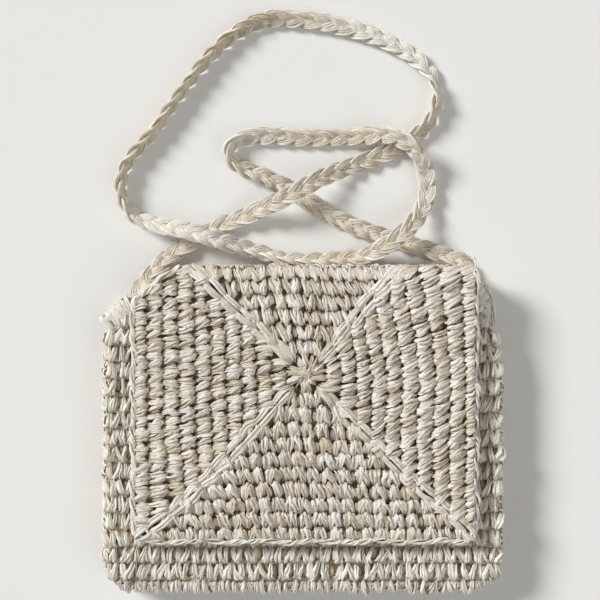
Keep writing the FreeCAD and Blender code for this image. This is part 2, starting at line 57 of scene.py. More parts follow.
def ease(value):
    """0 to 1, with no sudden start or end."""
    value = np.clip(value, 0, 1)
    return value * value * (3 - 2 * value)


def held(values, low, high, soft=3.0):
    """The same values, pressed together near the limits so that none lies beyond them."""
    over = np.maximum(values - high + soft, 0)
    under = np.maximum(low + soft - values, 0)
    return values - over + soft * np.tanh(over / soft) + under - soft * np.tanh(under / soft)


def arch(steps):
    """0 at both ends of steps that go from 0 to 1, and 1 in the middle."""
    return np.sin(math.pi * steps)


def varied(count):
    """A function that gives random differences about 0, one for each strand or for each of its steps."""
    return lambda amount, steps=1: rng.normal(0, amount, (count, steps))


def ribbon_profiles(strands, steps, crease):
    """Sections of folded ribbons, by strand and step.

    The seven points are edge, crest, crease, crest, edge, and then two below.
    """
    def drift(low, high, amount):
        return rng.uniform(low, high, (strands, 1)) + rng.normal(0, amount, (strands, steps))

    ones = np.ones((strands, steps))
    crests = drift(0.75, 1.1, 0.07), drift(0.75, 1.1, 0.07)
    valley = np.minimum(*crests) * (1 - crease * drift(0.15, 0.7, 0.1))
    x = np.stack([
        ones, drift(0.35, 0.7, 0.05), drift(-0.15, 0.15, 0.05), drift(-0.7, -0.35, 0.05), -ones,
        -0.55 * ones, 0.55 * ones,
    ], axis=-1)
    y = np.stack([0 * ones, crests[0], valley, crests[1], 0 * ones, -0.7 * ones, -0.7 * ones], axis=-1)
    return x, y


class Piece:
    """Collects strands and sheets, in millimetres, then makes one mesh object of them."""

    def __init__(self, name):
        self.name = name
        self.parts = []
        self.total = 0

    def skin(self, verts, coords, shade, slot, folds):
        """Closed tubes with capped ends: points by tube, row and place in the row, with the two attributes.

        folds is how many of each row's points have a sharp edge along the tube.
        """
        tubes, rows, ring = verts.shape[:3]
        index = np.arange(tubes * rows * ring).reshape(tubes, rows, ring)
        ahead = np.roll(index, -1, axis=2)
        quads = np.stack([index[:, :-1], index[:, 1:], ahead[:, 1:], ahead[:, :-1]], axis=-1).reshape(-1)
        loops = np.concatenate([quads, index[:, 0].reshape(-1), index[:, -1, ::-1].reshape(-1)])
        counts = np.repeat([4, ring], [len(quads) // 4, 2 * tubes])
        creases = np.full(index.shape, -1)
        creases[:, :, :folds] = self.total + index[:, :1, :folds]
        self.parts.append((
            verts.reshape(-1, 3), loops + self.total, counts, coords.reshape(-1, 3), shade.reshape(-1),
            np.full(len(counts), slot), creases.reshape(-1),
        ))
        self.total += index.size

    def strands(self, paths, ups, widths, heights, tones, painted_light=None, crease=0.3, shape=None, slot=0):
        """Many strands, each a ribbon's section swept along its path. Arrays are by strand, then by step.

        tones are from 0, tan, to 1, ivory. The light painted on each point is 1, and less where a strand
        tucks in, as painted shade.
        """
        strands, steps = paths.shape[:2]
        ups = ups if ups.ndim == 3 else ups[..., None, :]
        tangents = unit(np.gradient(paths, axis=1))
        sides = unit(np.cross(tangents, ups))
        normals = np.cross(sides, tangents)
        across, above = ribbon_profiles(strands, steps, crease)
        points = across.shape[2]
        across = (across * widths[..., None] / 2)[..., None]
        above = (above * heights[..., None] / 2)[..., None]
        verts = paths[:, :, None] + sides[:, :, None] * across + normals[:, :, None] * above
        reach = np.linalg.norm(np.diff(paths, axis=1), axis=-1)
        along = np.concatenate([np.zeros((strands, 1)), np.cumsum(reach, axis=1)], axis=1)
        coords = np.empty(verts.shape)
        coords[..., 0] = (along + rng.uniform(0, 5000, (strands, 1)))[:, :, None]
        coords[..., 1] = np.linspace(0, 1, points, endpoint=False) * widths.max(axis=1)[:, None, None] * 2.2
        coords[..., 2] = (tones if tones.ndim == 2 else tones[:, None])[:, :, None]
        # The crease between the two crests is painted darker, as shade.
        painted_crease_shade = np.ones(points)
        painted_crease_shade[2] = 1 - 0.35 * min(crease, 1)
        shade = (np.ones((strands, steps)) if painted_light is None else painted_light)[..., None] * painted_crease_shade
        if shape is not None:
            verts = shape(verts.reshape(-1, 3)).reshape(verts.shape)
        self.skin(verts, coords, shade, slot, 5)

    def grid(self, verts, slot=0):
        """A closed skin over rows of points, each row a closed ring."""
        x, y, z = np.moveaxis(verts, -1, 0)
        coords = np.stack([x, y + z, np.full(x.shape, 0.5)], axis=-1)
        self.skin(verts[None], coords, np.ones(x.shape), slot, 0)

    def build(self, *materials):
        joined = (np.concatenate(part) for part in zip(*self.parts))
        verts, loops, counts, coords, shades, slots, creases = joined
        mesh = bpy.data.meshes.new(self.name)
        mesh.vertices.add(len(verts))
        mesh.vertices.foreach_set("co", (verts * MM).astype(np.float32).ravel())
        mesh.loops.add(len(loops))
        mesh.loops.foreach_set("vertex_index", loops.astype(np.int32))
        mesh.polygons.add(len(counts))
        starts = np.concatenate([[0], np.cumsum(counts)[:-1]])
        mesh.polygons.foreach_set("loop_start", starts.astype(np.int32))
        mesh.update(calc_edges=True)
        mesh.polygons.foreach_set("use_smooth", np.ones(len(counts), bool))
        mesh.polygons.foreach_set("material_index", slots.astype(np.int32))
        edges = np.empty(2 * len(mesh.edges), np.int32)
        mesh.edges.foreach_get("vertices", edges)
        ends = creases[edges.reshape(-1, 2)]
        # The second attribute is the painted light and shade of each point, read by the raffia materials.
        for name, kind, domain, field, values in (
            ("strand", "FLOAT_VECTOR", "POINT", "vector", coords.astype(np.float32).ravel()),
            ("painted_light", "FLOAT", "POINT", "value", shades.astype(np.float32)),
            ("sharp_edge", "BOOLEAN", "EDGE", "value", (ends[:, 0] >= 0) & (ends[:, 0] == ends[:, 1])),
        ):
            mesh.attributes.new(name, kind, domain).data.foreach_set(field, values)
        mesh.validate()
        for material in materials:
            mesh.materials.append(material)
        thing = bpy.data.objects.new(self.name, mesh)
        bpy.context.scene.collection.objects.link(thing)
        return thing


def settle(thing, body, slot, *nodes):
    """The piece moves with the body and stands for the CAD nodes. slot is not used."""
    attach(thing, body)
    if nodes:
        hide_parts(*nodes)
    return thing


# ------ materials

class Tree:
    """The nodes of a material or the world. Inputs are given by name, as a value or as an output to link."""

    def __init__(self, owner):
        owner.use_nodes = True
        self.owner, self.nodes, self.links = owner, owner.node_tree.nodes, owner.node_tree.links

    def fill(self, node, inputs):
        for key, value in inputs.items():
            if isinstance(value, bpy.types.NodeSocket):
                self.links.new(value, node.inputs[key])
            else:
                node.inputs[key].default_value = value

    def add(self, kind, **inputs):
        node = self.nodes.new("ShaderNode" + kind)
        self.fill(node, inputs)
        return node

    def attribute(self, name, output="Vector"):
        node = self.add("Attribute")
        node.attribute_name = name
        return node.outputs[output]

    def math(self, operation, *values):
        node = self.add("Math")
        node.operation = operation
        self.fill(node, dict(enumerate(values)))
        return node.outputs["Value"]

    def noise(self, source, scale, detail):
        """A noise texture stretched by scale, one number for each axis of the source's coordinates."""
        stretched = self.add("Mapping", Vector=source, Scale=scale).outputs["Vector"]
        return self.add("TexNoise", Vector=stretched, Scale=1, Detail=detail).outputs["Fac"]

    def ramp(self, value, *stops):
        node = self.add("ValToRGB", Fac=value)
        while len(node.color_ramp.elements) < len(stops):
            node.color_ramp.elements.new(0.5)
        for element, (place, colour) in zip(node.color_ramp.elements, stops):
            element.position = place
            element.color = (*colour, 1)
        return node.outputs["Color"]

    def bump(self, height, strength, distance):
        return self.add("Bump", Height=height, Strength=strength, Distance=distance).outputs["Normal"]

    def surface(self, inputs):
        """The finished material."""
        self.fill(self.nodes["Principled BSDF"], inputs)
        return self.owner


def raffia(name, painted_shade_colour, tan, straw, ivory, roughness=0.5):
    """Dry palm ribbon: fine streaks along each strand, tan to ivory, and painted shade where it tucks in."""
    tree = Tree(bpy.data.materials.new(name))
    source = tree.attribute("strand")
    fibres = tree.noise(source, (0.16, 1.1, 9), 2)
    folds = tree.noise(source, (0.2, 0.45, 5), 2)
    value = tree.noise(source, (0.2, 0.2, 3), 2)
    tone = tree.add("SeparateXYZ", Vector=source).outputs["Z"]
    for part, share in ((fibres, 0.3), (folds, 0.35), (tone, 0.75)):
        value = tree.math("MULTIPLY_ADD", part, share, value)
    value = tree.math("MULTIPLY", value, 0.5)
    # Painted shade: where a strand tucks in, this mixes in the dark first colour.
    painted_shade_mix = tree.add("Mix")
    painted_shade_mix.data_type = "RGBA"
    tree.fill(painted_shade_mix, {
        "Factor": tree.attribute("painted_light", "Fac"),
        "A": (*painted_shade_colour, 1),
        "B": tree.ramp(value, (0.36, tan), (0.54, straw), (0.74, ivory)),
    })
    return tree.surface({
        "Base Color": painted_shade_mix.outputs["Result"],
        "Roughness": roughness,
        "Specular IOR Level": 0.35,
        "Normal": tree.bump(tree.math("MULTIPLY_ADD", folds, 4.0, fibres), 0.4, 0.001),
    })


# The colours of each are the painted shade of tucked-in parts, then tan, straw and ivory.
RAFFIA = raffia(
    "raffia_ribbon", (0.26, 0.165, 0.085), (0.53, 0.425, 0.285), (0.72, 0.66, 0.545), (0.84, 0.81, 0.745))
PALE = raffia(
    "raffia_pale", (0.34, 0.25, 0.16), (0.60, 0.52, 0.40), (0.75, 0.70, 0.60), (0.85, 0.83, 0.77))
STRAP = raffia(
    "raffia_strap", (0.30, 0.20, 0.12), (0.56, 0.46, 0.32), (0.72, 0.65, 0.53), (0.85, 0.82, 0.755))
# Two dark copies of the raffia: painted shade for what lies deep behind the stitches.
PAINTED_SHADE_HOLLOW = raffia(
    "raffia_hollow_painted_shade",
    (0.13, 0.085, 0.045), (0.24, 0.165, 0.095), (0.31, 0.225, 0.135), (0.37, 0.28, 0.18), 0.8)
PAINTED_SHADE_BACKING = raffia(
    "raffia_backing_painted_shade", (0.08, 0.055, 0.03), (0.16, 0.115, 0.07), (0.24, 0.175, 0.11), (0.3, 0.225, 0.14), 0.8)

# ------ strap

# The strap's route from its left wrap to its right one: x, y, height, lean and tone. It is highest where one
# part crosses another. lean is in degrees, with the outer or right edge up, and tone is how pale it is:
# partly the ribbon's own tan, and partly painted light and shade, pale where the strap is lit and tan where
# it is shaded.
ROUTE = np.array([
    (-113.6, 80.8, 10, 35, 0.5), (-103, 97.5, 7, 25, 0.5), (-86, 114, 5, 10, 0.5),
    (-63, 128, 4, 5, 0.55), (-39, 138, 4.5, 0, 0.5), (-16, 147, 17.5, -5, 0.45),
    (3, 158, 17.5, -5, 0.45), (28, 170, 4.5, -15, 0.45), (60, 181, 4.5, -20, 0.45),
    (85, 198, 6.5, -48, 0.4), (90, 223, 7, -72, 0.85), (74, 244, 4, -14, 0.95),
    (44, 259, 3.5, -4, 0.95), (8, 267, 4.5, 18, 0.55), (-27, 269, 5.5, 38, 0.25),
    (-54, 252, 6.5, 58, 0.3), (-77, 224, 6.8, 70, 0.35), (-98, 193, 6.5, 72, 0.35),
    (-116, 174, 6.5, 66, 0.3), (-120.5, 158, 7, 72, 0.4), (-116, 142.5, 6.5, 60, 0.65),
    (-104, 133.5, 6, 34, 0.8), (-77, 129, 17.5, 8, 0.85), (-56, 122, 17.5, 5, 0.85),
    (-33, 116, 6, 40, 0.75), (-9, 109.2, 6.8, 60, 0.6), (16, 109.6, 6, 40, 0.45),
    (37, 111, 5, 15, 0.45), (53, 117, 17.5, -5, 0.5), (70, 130, 17.5, -10, 0.6),
    (81, 145, 5.5, -10, 0.65), (82, 165, 5.5, -5, 0.65), (74, 182, 17.5, 35, 0.75),
    (56, 191.5, 17.5, 35, 0.5), (35, 190.5, 5, 20, 0.35), (8, 189, 4.5, 24, 0.35),
    (-18, 191.2, 4.5, 22, 0.55), (-38, 191, 6, 35, 0.8), (-50, 183, 7, 70, 0.85),
    (-45, 171, 6, 45, 0.45), (-26, 165, 4, 15, 0.4), (-7, 155, 3.5, 5, 0.45),
    (16, 140, 3.5, 0, 0.45), (44, 127, 3.5, 0, 0.45), (72, 119.6, 3.5, 5, 0.45),
    (94, 112, 4.5, 15, 0.45), (108, 108.5, 6, 40, 0.4), (112.6, 94.8, 9, 70, 0.4),
])
BRAID_WIDTH = 13.5
BRAID_THICKNESS = 4
BRAID_REPEAT = 35  # from one crossing of a strand to the same strand's next
BRAID_STEP = 1.6
STRAND_WIDTH = 7
STRAND_THICKNESS = 1.7
STRAND_TILT = 0.30  # how far a strand turns on its side where it crosses, in radians
RIBBONS = 4  # side by side in each strand


def nurbs_line(points):
    """Points read from a smooth NURBS line through the route."""
    curve = bpy.data.curves.new("route", "CURVE")
    curve.dimensions = "3D"
    spline = curve.splines.new("NURBS")
    spline.points.add(len(points) - 1)
    for point, place in zip(spline.points, points):
        point.co = (*place, 1)
    spline.order_u = 3
    spline.use_endpoint_u = True
    spline.resolution_u = 12
    thing = bpy.data.objects.new("route", curve)
    mesh = bpy.data.meshes.new_from_object(thing)
    line = np.array([v.co for v in mesh.vertices])
    bpy.data.objects.remove(thing)
    bpy.data.meshes.remove(mesh)
    return line


def resample(line, step):
    """The same line with points at an even spacing, and how far along it each lies."""
    reach = np.concatenate([[0], np.cumsum(np.linalg.norm(np.diff(line, axis=0), axis=1))])
    places = np.linspace(0, reach[-1], int(reach[-1] / step) + 1)
    return np.stack([np.interp(places, reach, axis) for axis in line.T], axis=1), places


def along_route(line, places, values):
    """The values given at the route's points, spread smoothly over the line."""
    nearest = np.linalg.norm(line[None] - ROUTE[:, None, :3], axis=-1)
    stops, last = [], 0
    for row in nearest:
        last += int(np.argmin(row[last:last + 60]))
        stops.append(places[last])
    spread = np.interp(places, stops, values)
    window = np.hanning(11)
    return np.convolve(np.pad(spread, 5, mode="edge"), window / window.sum(), mode="valid")


def wander(places, size, count, span):
    """Slow random swings of about that size, one row for each of count strands."""
    swing = np.zeros((count, len(places)))
    for octave in (1, 1.7, 2.9):
        phase = rng.uniform(0, math.tau, (count, 1))
        rate = rng.uniform(0.8, 1.2, (count, 1)) * octave / span
        swing += size / octave * np.sin(math.tau * places * rate + phase)
    return swing


def make_strap():
    """A flat braid of three strands, each of a few ribbons side by side."""
    line, places = resample(nurbs_line(ROUTE[:, :3]), BRAID_STEP)
    lean = np.radians(along_route(line, places, ROUTE[:, 3]))
    # tone holds painted light and shade along the strap, as well as its own tan.
    tone = along_route(line, places, ROUTE[:, 4])
    tangents = unit(np.gradient(line, axis=0))
    level = unit(np.cross(tangents, UP))
    upright = np.cross(level, tangents)
    across = level * np.cos(lean)[:, None] + upright * np.sin(lean)[:, None]
    above = np.cross(across, tangents)
    piece = Piece("strap_braid")
    for k in range(3):
        phase = math.tau * (places / BRAID_REPEAT + k / 3)
        swing = (BRAID_WIDTH - STRAND_WIDTH) / 2 * np.sin(phase)
        lift = (BRAID_THICKNESS - STRAND_THICKNESS) / 2 * np.sin(2 * phase)
        path = line + across * swing[:, None] + above * lift[:, None]
        tilt = -STRAND_TILT * np.cos(phase)
        up = above * np.cos(tilt)[:, None] + across * np.sin(tilt)[:, None]
        side = unit(np.cross(np.gradient(path, axis=0), up))
        narrow = STRAND_WIDTH * (1 - 0.25 * np.abs(np.sin(phase)) ** 3)
        spots = ((np.arange(RIBBONS) + 0.5) / RIBBONS - 0.5)[:, None]
        sway = wander(places, 0.22, RIBBONS, 26)
        bob = wander(places, 0.16, RIBBONS, 19) - 1.6 * spots ** 2
        paths = path + side * (spots * narrow + sway)[..., None] + up * bob[..., None]
        widths = narrow / RIBBONS * 1.2 * (1 + wander(places, 0.10, RIBBONS, 33))
        heights = STRAND_THICKNESS * (1 + wander(places, 0.10, RIBBONS, 21))
        tones = tone + rng.normal(0, 0.12, (RIBBONS, 1))
        ups = np.broadcast_to(up, paths.shape)
        piece.strands(paths, ups, widths, heights, tones, crease=0.4)
    strap = settle(piece.build(STRAP), "bag", "raffia_strap", "strap")
    line = line * MM
    tuple(line[0])


make_strap()

# ------ crochet

class Frames:
    """Where stitches go on a flat chart: place, direction along the row, direction of the legs and sizes.

    lean is how far the feet lie from the head along the row. packed is 1 where the legs lie side by side.
    """

    def __init__(self, rows=()):
        self.rows = list(rows)

    def add(self, place, along, out, pitch, depth, lean, packed=0):
        self.rows.append([*place, *along, *out, pitch, depth, lean, packed])

    def where(self, keep):
        """Only the stitches for which keep is true of the middle of the legs."""
        middles = (np.array(row[0:2]) + np.array(row[4:6]) * row[7] * 0.5 for row in self.rows)
        return Frames(row for row, middle in zip(self.rows, middles) if keep(*middle))

    def columns(self, chosen=slice(None)):
        """The place, the two directions and the four sizes of the chosen stitches, one row for each."""
        rows = np.array(self.rows, float)[chosen]
        vectors = (np.pad(rows[:, k:k + 2], ((0, 0), (0, 1)))[:, None] for k in (0, 2, 4))
        return *vectors, *rows[:, 6:].T[..., None]


def lay(place, along, out, side, outward, rise):
    """Paths whose points are that far along the row, out and up from each stitch's place."""
    return place + along * side[..., None] + out * outward[..., None] + UP * rise[..., None]


# A stitch is an arch: two legs leave a blunt head, and part on their way to the next row or round. These are
# how far out, how high and how wide a leg is along its way, the light painted on it (painted shade where it
# tucks in at the head and feet), and how far it is from the other one.
LEG_OUT = np.array([-0.03, 0.03, 0.12, 0.25, 0.42, 0.60, 0.78, 0.94, 1.07])
LEG_LIFT = np.array([-2.0, 0.8, 2.4, 2.8, 2.6, 2.1, 1.4, 0.6, -0.8])
LEG_WIDTH = np.array([0.80, 1.10, 1.20, 1.14, 1.02, 0.92, 0.80, 0.62, 0.34])
LEG_PAINTED_LIGHT = np.array([0.05, 0.7, 1, 1, 1, 0.95, 0.85, 0.65, 0.3])
LEG_PART = ease((LEG_OUT - 0.05) / 0.8)
SLIVER_SPAN = slice(1, 8)  # the part of a leg that a sliver lies on


def add_legs(piece, frames, width, height, lift, base, shape, tone=0.55, slivers=None):
    """Two slanting legs at each frame, each a folded ribbon. width is in halves of the pitch.

    slivers is a piece that gets a narrower ribbon along the back of each leg.
    """
    place, along, out, pitch, depth, lean, packed = frames.columns()
    count, steps = len(pitch), len(LEG_OUT)
    vary = varied(count)
    shared_swell, shared_rise = vary(0.08), vary(0.35)
    shared_tone = rng.normal(tone, 0.12, count)
    gather = 0.13 + 0.12 * packed
    lift = lift * (1 + 0.4 * packed)
    for half in (-1, 1):
        side = half * (gather + (0.29 - gather) * LEG_PART) * pitch + lean * LEG_OUT
        side = side + vary(0.35) + vary(0.8) * LEG_OUT + vary(0.45) * arch(LEG_OUT) + vary(0.1, steps)
        outward = LEG_OUT * depth * (1 + vary(0.05)) + vary(0.3) - 0.2 * half
        rise = base + LEG_LIFT * lift * (1 + vary(0.10)) + shared_rise + vary(0.35) + vary(0.12, steps)
        paths = lay(place, along, out, side, outward, rise)
        roll = vary(0.25) + vary(0.35) * LEG_OUT + 0.25 * half + vary(0.18, steps)
        ups = UP + along * roll[..., None]
        widths = width * pitch / 2 * LEG_WIDTH * (1 + shared_swell + vary(0.13) + vary(0.09, steps))
        heights = height * (0.5 + 0.5 * LEG_WIDTH) * (1 + vary(0.12))
        tones = np.clip(shared_tone + rng.normal(0, 0.13, count), 0, 1)
        painted_light = np.broadcast_to(LEG_PAINTED_LIGHT, widths.shape)
        piece.strands(paths, ups, widths, heights, tones, painted_light, 1.0, shape)
        if slivers is None:
            continue
        parts = (paths, ups, widths, heights, painted_light)
        paths, ups, widths, heights, painted_light = (part[:, SLIVER_SPAN] for part in parts)
        drift = (vary(0.24) + vary(0.22) * np.linspace(-1, 1, widths.shape[1])) * widths
        ridge = paths + along * drift[..., None] + UP * (0.5 * heights + vary(0.12))[..., None]
        tones = np.clip(tones + rng.normal(0.05, 0.15, count), 0, 1)
        slim = widths * (0.26 + vary(0.05))
        slivers.strands(ridge, ups, slim, heights * 0.5, tones, painted_light, 0.3, shape)


def add_wisps(piece, frames, share, base, width, shape):
    """Thin strands that have come loose from the legs of some loops, and lie on top of them."""
    place, along, out, pitch, depth, lean, _ = frames.columns(rng.random(len(frames.rows)) < share)
    count = len(pitch)
    vary = varied(count)
    steps = np.linspace(0, 1, 9)
    start = rng.uniform(0.05, 0.4, (count, 1))
    outward = start + rng.uniform(0.5, 0.95, (count, 1)) * steps
    side = lean * outward + rng.uniform(-0.42, 0.42, (count, 1)) * pitch
    side = side + vary(1.3) * steps + vary(0.5) * arch(steps)
    rise = base + rng.uniform(0.2, 1.0, (count, 1)) * arch(steps) - 1.6 * outward ** 2
    paths = lay(place, along, out, side, outward * depth, rise)
    ups = UP + vary(0.5, 3)
    widths = width * rng.uniform(0.6, 1.5, (count, 1)) * (0.35 + 0.65 * arch(steps))
    tones = rng.uniform(0.3, 1.0, count)
    piece.strands(paths, ups, widths, widths * 0.5, tones, None, 0.5, shape)


CORE_WIDTH = 3.4


def add_core(piece, frames, base, lift, shape, closed=False):
    """What shows behind the legs: strands under each stitch and between stitches, and along open rows, given
    a tan tone and less light: painted shade.
    """
    place, along, out, pitch, depth, lean, _ = frames.columns()
    count = len(pitch)
    vary = varied(count)
    steps = np.linspace(0, 1, 6)
    ups = UP + vary(0.2, 3)
    for kind in ("between", "middle") if closed else ("row", "between", "middle"):
        slack = vary(0.4)
        if kind == "row":
            side = (steps - 0.5) * 1.5 * pitch + slack
            outward = 0.12 * depth * arch(steps) - 0.05 * depth + slack
            rise = base + lift * 0.5 * arch(steps) + slack * 0.5
        else:
            outward = (0.20 + 0.62 * steps) * depth + slack
            side = lean * (0.20 + 0.62 * steps) + slack + (0.5 * pitch if kind == "between" else 0)
            rise = base + lift * (1 - 1.1 * steps ** 1.5) + slack * 0.4
        paths = lay(place, along, out, side, outward, rise)
        widths = CORE_WIDTH * np.broadcast_to(0.6 + 0.4 * arch(steps), side.shape)
        # Painted shade: a tan tone, and less painted light towards the ends.
        tones = np.clip(rng.normal(0.2, 0.15, count), 0, 1)
        painted_light = np.broadcast_to(0.35 + 0.5 * arch(steps), side.shape)
        piece.strands(paths, ups, widths, widths * 0.5, tones, painted_light, 0.3, shape)


def rounded_path(corners, closed, step=1.0):
    """Points along straight runs whose corners, each (x, y, radius), are rounded."""
    count = len(corners)
    places = np.array([c[:2] for c in corners], float)
    line = []
    for k, (x, y, radius) in enumerate(corners):
        if radius == 0 or (not closed and k in (0, count - 1)):
            line.append([x, y])
            continue
        before = unit(places[k - 1] - places[k])
        after = unit(places[(k + 1) % count] - places[k])
        half = math.acos(np.clip(before @ after, -1, 1)) / 2
        reach = radius / math.tan(half)
        hub = places[k] + unit(before + after) * radius / math.sin(half)
        start = places[k] + before * reach - hub
        end = places[k] + after * reach - hub
        for share in np.linspace(0, 1, 9):
            line.append(hub + unit(start * (1 - share) + end * share) * radius)
    if closed:
        line.append(line[0])
    return resample(np.array(line), step)


def facing(line):
    """The direction that points out of the bag at each point of a path that goes anticlockwise."""
    tangents = unit(np.gradient(line, axis=0))
    return np.stack([tangents[:, 1], -tangents[:, 0]], axis=1)


def side_normals(corners):
    """The corners of a convex outline that goes anticlockwise, and the outward direction of each side."""
    places = np.array([c[:2] for c in corners], float)
    runs = unit(np.roll(places, -1, axis=0) - places)
    return places, np.stack([runs[:, 1], -runs[:, 0]], axis=1)


def inset_corners(corners, *insets):
    """The outline with its sides moved in, by one distance or by one for each, from corner 0 to 1 first."""
    places, normals = side_normals(corners)
    insets = insets if len(insets) > 1 else insets * len(places)
    offsets = np.sum(places * normals, axis=1) - np.array(insets)
    moved = []
    for k, (_, _, radius) in enumerate(corners):
        x, y = np.linalg.solve(normals[[k - 1, k]], offsets[[k - 1, k]])
        moved.append((x, y, max(radius - max(insets), 0.5)))
    return moved


def inside(corners, margin):
    """A test for points within a convex outline, or no further out of it than the margin."""
    places, normals = side_normals(corners)
    return lambda x, y: bool(np.all(np.sum((np.array([x, y]) - places) * normals, axis=1) <= margin))


def add_twist(piece, line, plies, radius, pitch, width, height, tone=0.55, flatten=1.0):
    """Plies twisted round a line of 3-D points."""
    line, places = resample(line, 1.2)
    tangents = unit(np.gradient(line, axis=0))
    first = unit(np.cross(tangents, UP))
    second = np.cross(first, tangents)
    turn = math.tau * (places / pitch + np.arange(plies)[:, None] / plies) + wander(places, 0.5, plies, 60)
    radial = first * np.cos(turn)[..., None] + second * np.sin(turn)[..., None] * flatten
    paths = line + radial * (radius * (1 + wander(places, 0.12, plies, 25)))[..., None]
    widths = width * (1 + wander(places, 0.12, plies, 30))
    heights = height * (1 + wander(places, 0.10, plies, 22))
    tones = np.clip(tone + wander(places, 0.15, plies, 70), 0, 1)
    # Painted shade: each ply is darker where it turns to the underside of the twist.
    painted_light = 0.72 + 0.28 * ease((np.sin(turn) + 1.1) / 1.2)
    piece.strands(paths, unit(radial + 0.25 * UP), widths, heights, tones, painted_light, 0.4)


def rectangle(low, high, *radii):
    """The corners, anticlockwise from the low one, as x, y and radius. Radii that aren't given are 0."""
    (left, bottom), (right, top) = low[:2], high[:2]
    return list(zip((left, right, right, left), (bottom, bottom, top, top), radii or (0, 0, 0, 0)))


def at_height(outline, z):
    """Flat points as 3-D ones, at one height or at one each."""
    return np.column_stack([outline, np.broadcast_to(z, len(outline))])


def add_plate(piece, corners, low, high, step=4):
    """A closed plate with rounded corners between two heights, in the piece's second material, which is dark:
    painted shade behind the stitches.
    """
    outline, _ = rounded_path(corners, True, step)
    piece.grid(np.array([at_height(outline[:-1], z) for z in (low, high)]), 1)


def node_box(name):
    """The low and high corners of a CAD node, in millimetres."""
    return tuple(np.array(corner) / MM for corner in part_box(name))


# Places shared by the crocheted pieces, from the CAD model's boxes.
back_low, back_high = node_box("back_panel")
flap_low, flap_high = node_box("flap_panel")
rim_low, rim_high = node_box("flap_edging")
band_low, band_high = node_box("top_band")
LEFT, RIGHT = back_low[0], back_high[0]
BOTTOM, TOP = back_low[1], back_high[1]
MOUTH = node_box("front_panel")[1][1]
LEFT_SHOULDER, RIGHT_SHOULDER = 62, 44  # how high the sides go
CORNER = 22
# Outlines, anticlockwise, as x, y and the corner's radius: the whole bag's and the front panel's.
PANEL = [
    (LEFT, BOTTOM, CORNER),
    (RIGHT, BOTTOM, CORNER),
    (RIGHT, RIGHT_SHOULDER, 8),
]
POUCH = PANEL + [
    (band_high[0], TOP, 3),
    (band_low[0], TOP, 3),
    (LEFT, LEFT_SHOULDER, 10),
]
FRONT = PANEL + [
    (RIGHT - (MOUTH - RIGHT_SHOULDER) * (RIGHT - band_high[0]) / (TOP - RIGHT_SHOULDER), MOUTH, 1),
    (LEFT + (MOUTH - LEFT_SHOULDER) * (band_low[0] - LEFT) / (TOP - LEFT_SHOULDER), MOUTH, 1),
    (LEFT, LEFT_SHOULDER, 10),
]
SNAP = np.array([1, -45])
SNAP_REACH = 12.6  # how far from the snap's middle the stitches are pressed flat
ROW = 10.8  # from one row of the body to the next
STITCH = 9.18
FIRST_ROW = BOTTOM - 4
# Heights: where the panels' charts lie, where the snap presses the stitches to, and the backings' two sides.
FRONT_FACE, BACK_FACE = 23.4, 2.6
FRONT_PRESSED, FLAP_PRESSED = 22.9, 29.5
FRONT_BACKING, BACK_BACKING = (21.3, 22.6), (3.2, 4.7)
BACKING_INSET = 3  # from the bag's outline
FLOOR_GAP, FLOOR_ROOM = 0.05, 0.55  # the back's stitches stay above the gap, and are flattened in the room


def pressed(verts, level, sign):
    """The stitches round the snap pressed back to a level, so that its patch and cap have room."""
    near = 1 - ease((np.hypot(verts[:, 0] - SNAP[0], verts[:, 1] - SNAP[1]) - SNAP_REACH) / 2)
    proud = np.maximum(sign * (verts[:, 2] - level), 0)
    return verts - np.outer(sign * proud * near, UP)


def roll_over(outward, surface, radius=3.5):
    """A shape that lays a flat chart on a panel, and rolls what goes beyond the outline over its edge."""
    line, _ = rounded_path(POUCH, True, 0.8)
    line = line[:-1] - facing(line)[:-1] * radius
    places, normals = side_normals(POUCH)
    offsets = np.sum(places * normals, axis=1)

    def shape(verts):
        flat, height = verts[:, :2].copy(), verts[:, 2]
        drop = height.copy()
        near = np.where(np.max(flat @ normals.T - offsets, axis=1) > -CORNER)[0]
        for chunk in np.array_split(near, max(1, len(near) // 4000)):
            gaps = flat[chunk, None] - line[None]
            foot = line[np.argmin(np.sum(gaps ** 2, axis=-1), axis=1)]
            away = flat[chunk] - foot
            beyond = np.sum(away * unit(foot), axis=1) > 0
            reach = np.linalg.norm(away, axis=1)
            angle = np.minimum(reach / radius, math.pi / 2)
            extra = np.maximum(reach - radius * math.pi / 2, 0)
            level = radius + height[chunk]
            rolled = foot + unit(away) * (level * np.sin(angle))[:, None]
            flat[chunk] = np.where(beyond[:, None], rolled, flat[chunk])
            drop[chunk] = np.where(beyond, level * np.cos(angle) - radius - extra, height[chunk])
        level = surface + outward * drop
        flattened = FLOOR_GAP + FLOOR_ROOM * np.exp((level - FLOOR_GAP - FLOOR_ROOM) / FLOOR_ROOM)
        level = np.where(level < FLOOR_GAP + FLOOR_ROOM, flattened, level)
        laid = np.column_stack([flat, level])
        return pressed(laid, FRONT_PRESSED, 1) if outward > 0 else laid

    return shape


def body_rows(top):
    """Stitches of the body, in level rows from the bottom up: joined below, with their legs up."""
    frames = Frames()
    keep = inside(POUCH, 2)
    row = 0
    while FIRST_ROW + row * ROW < top - 3:
        y = FIRST_ROW + row * ROW
        depth = min(ROW, top + 1 - y)
        for column in range(-14, 14):
            x = (column + 0.5) * STITCH + 0.8 * math.sin(row * 2.1)
            if keep(x, y + depth * 0.55):
                frames.add((x, y), (1, 0), (0, 1), STITCH, depth, rng.normal(0.8, 1.5))
        row += 1
    return frames


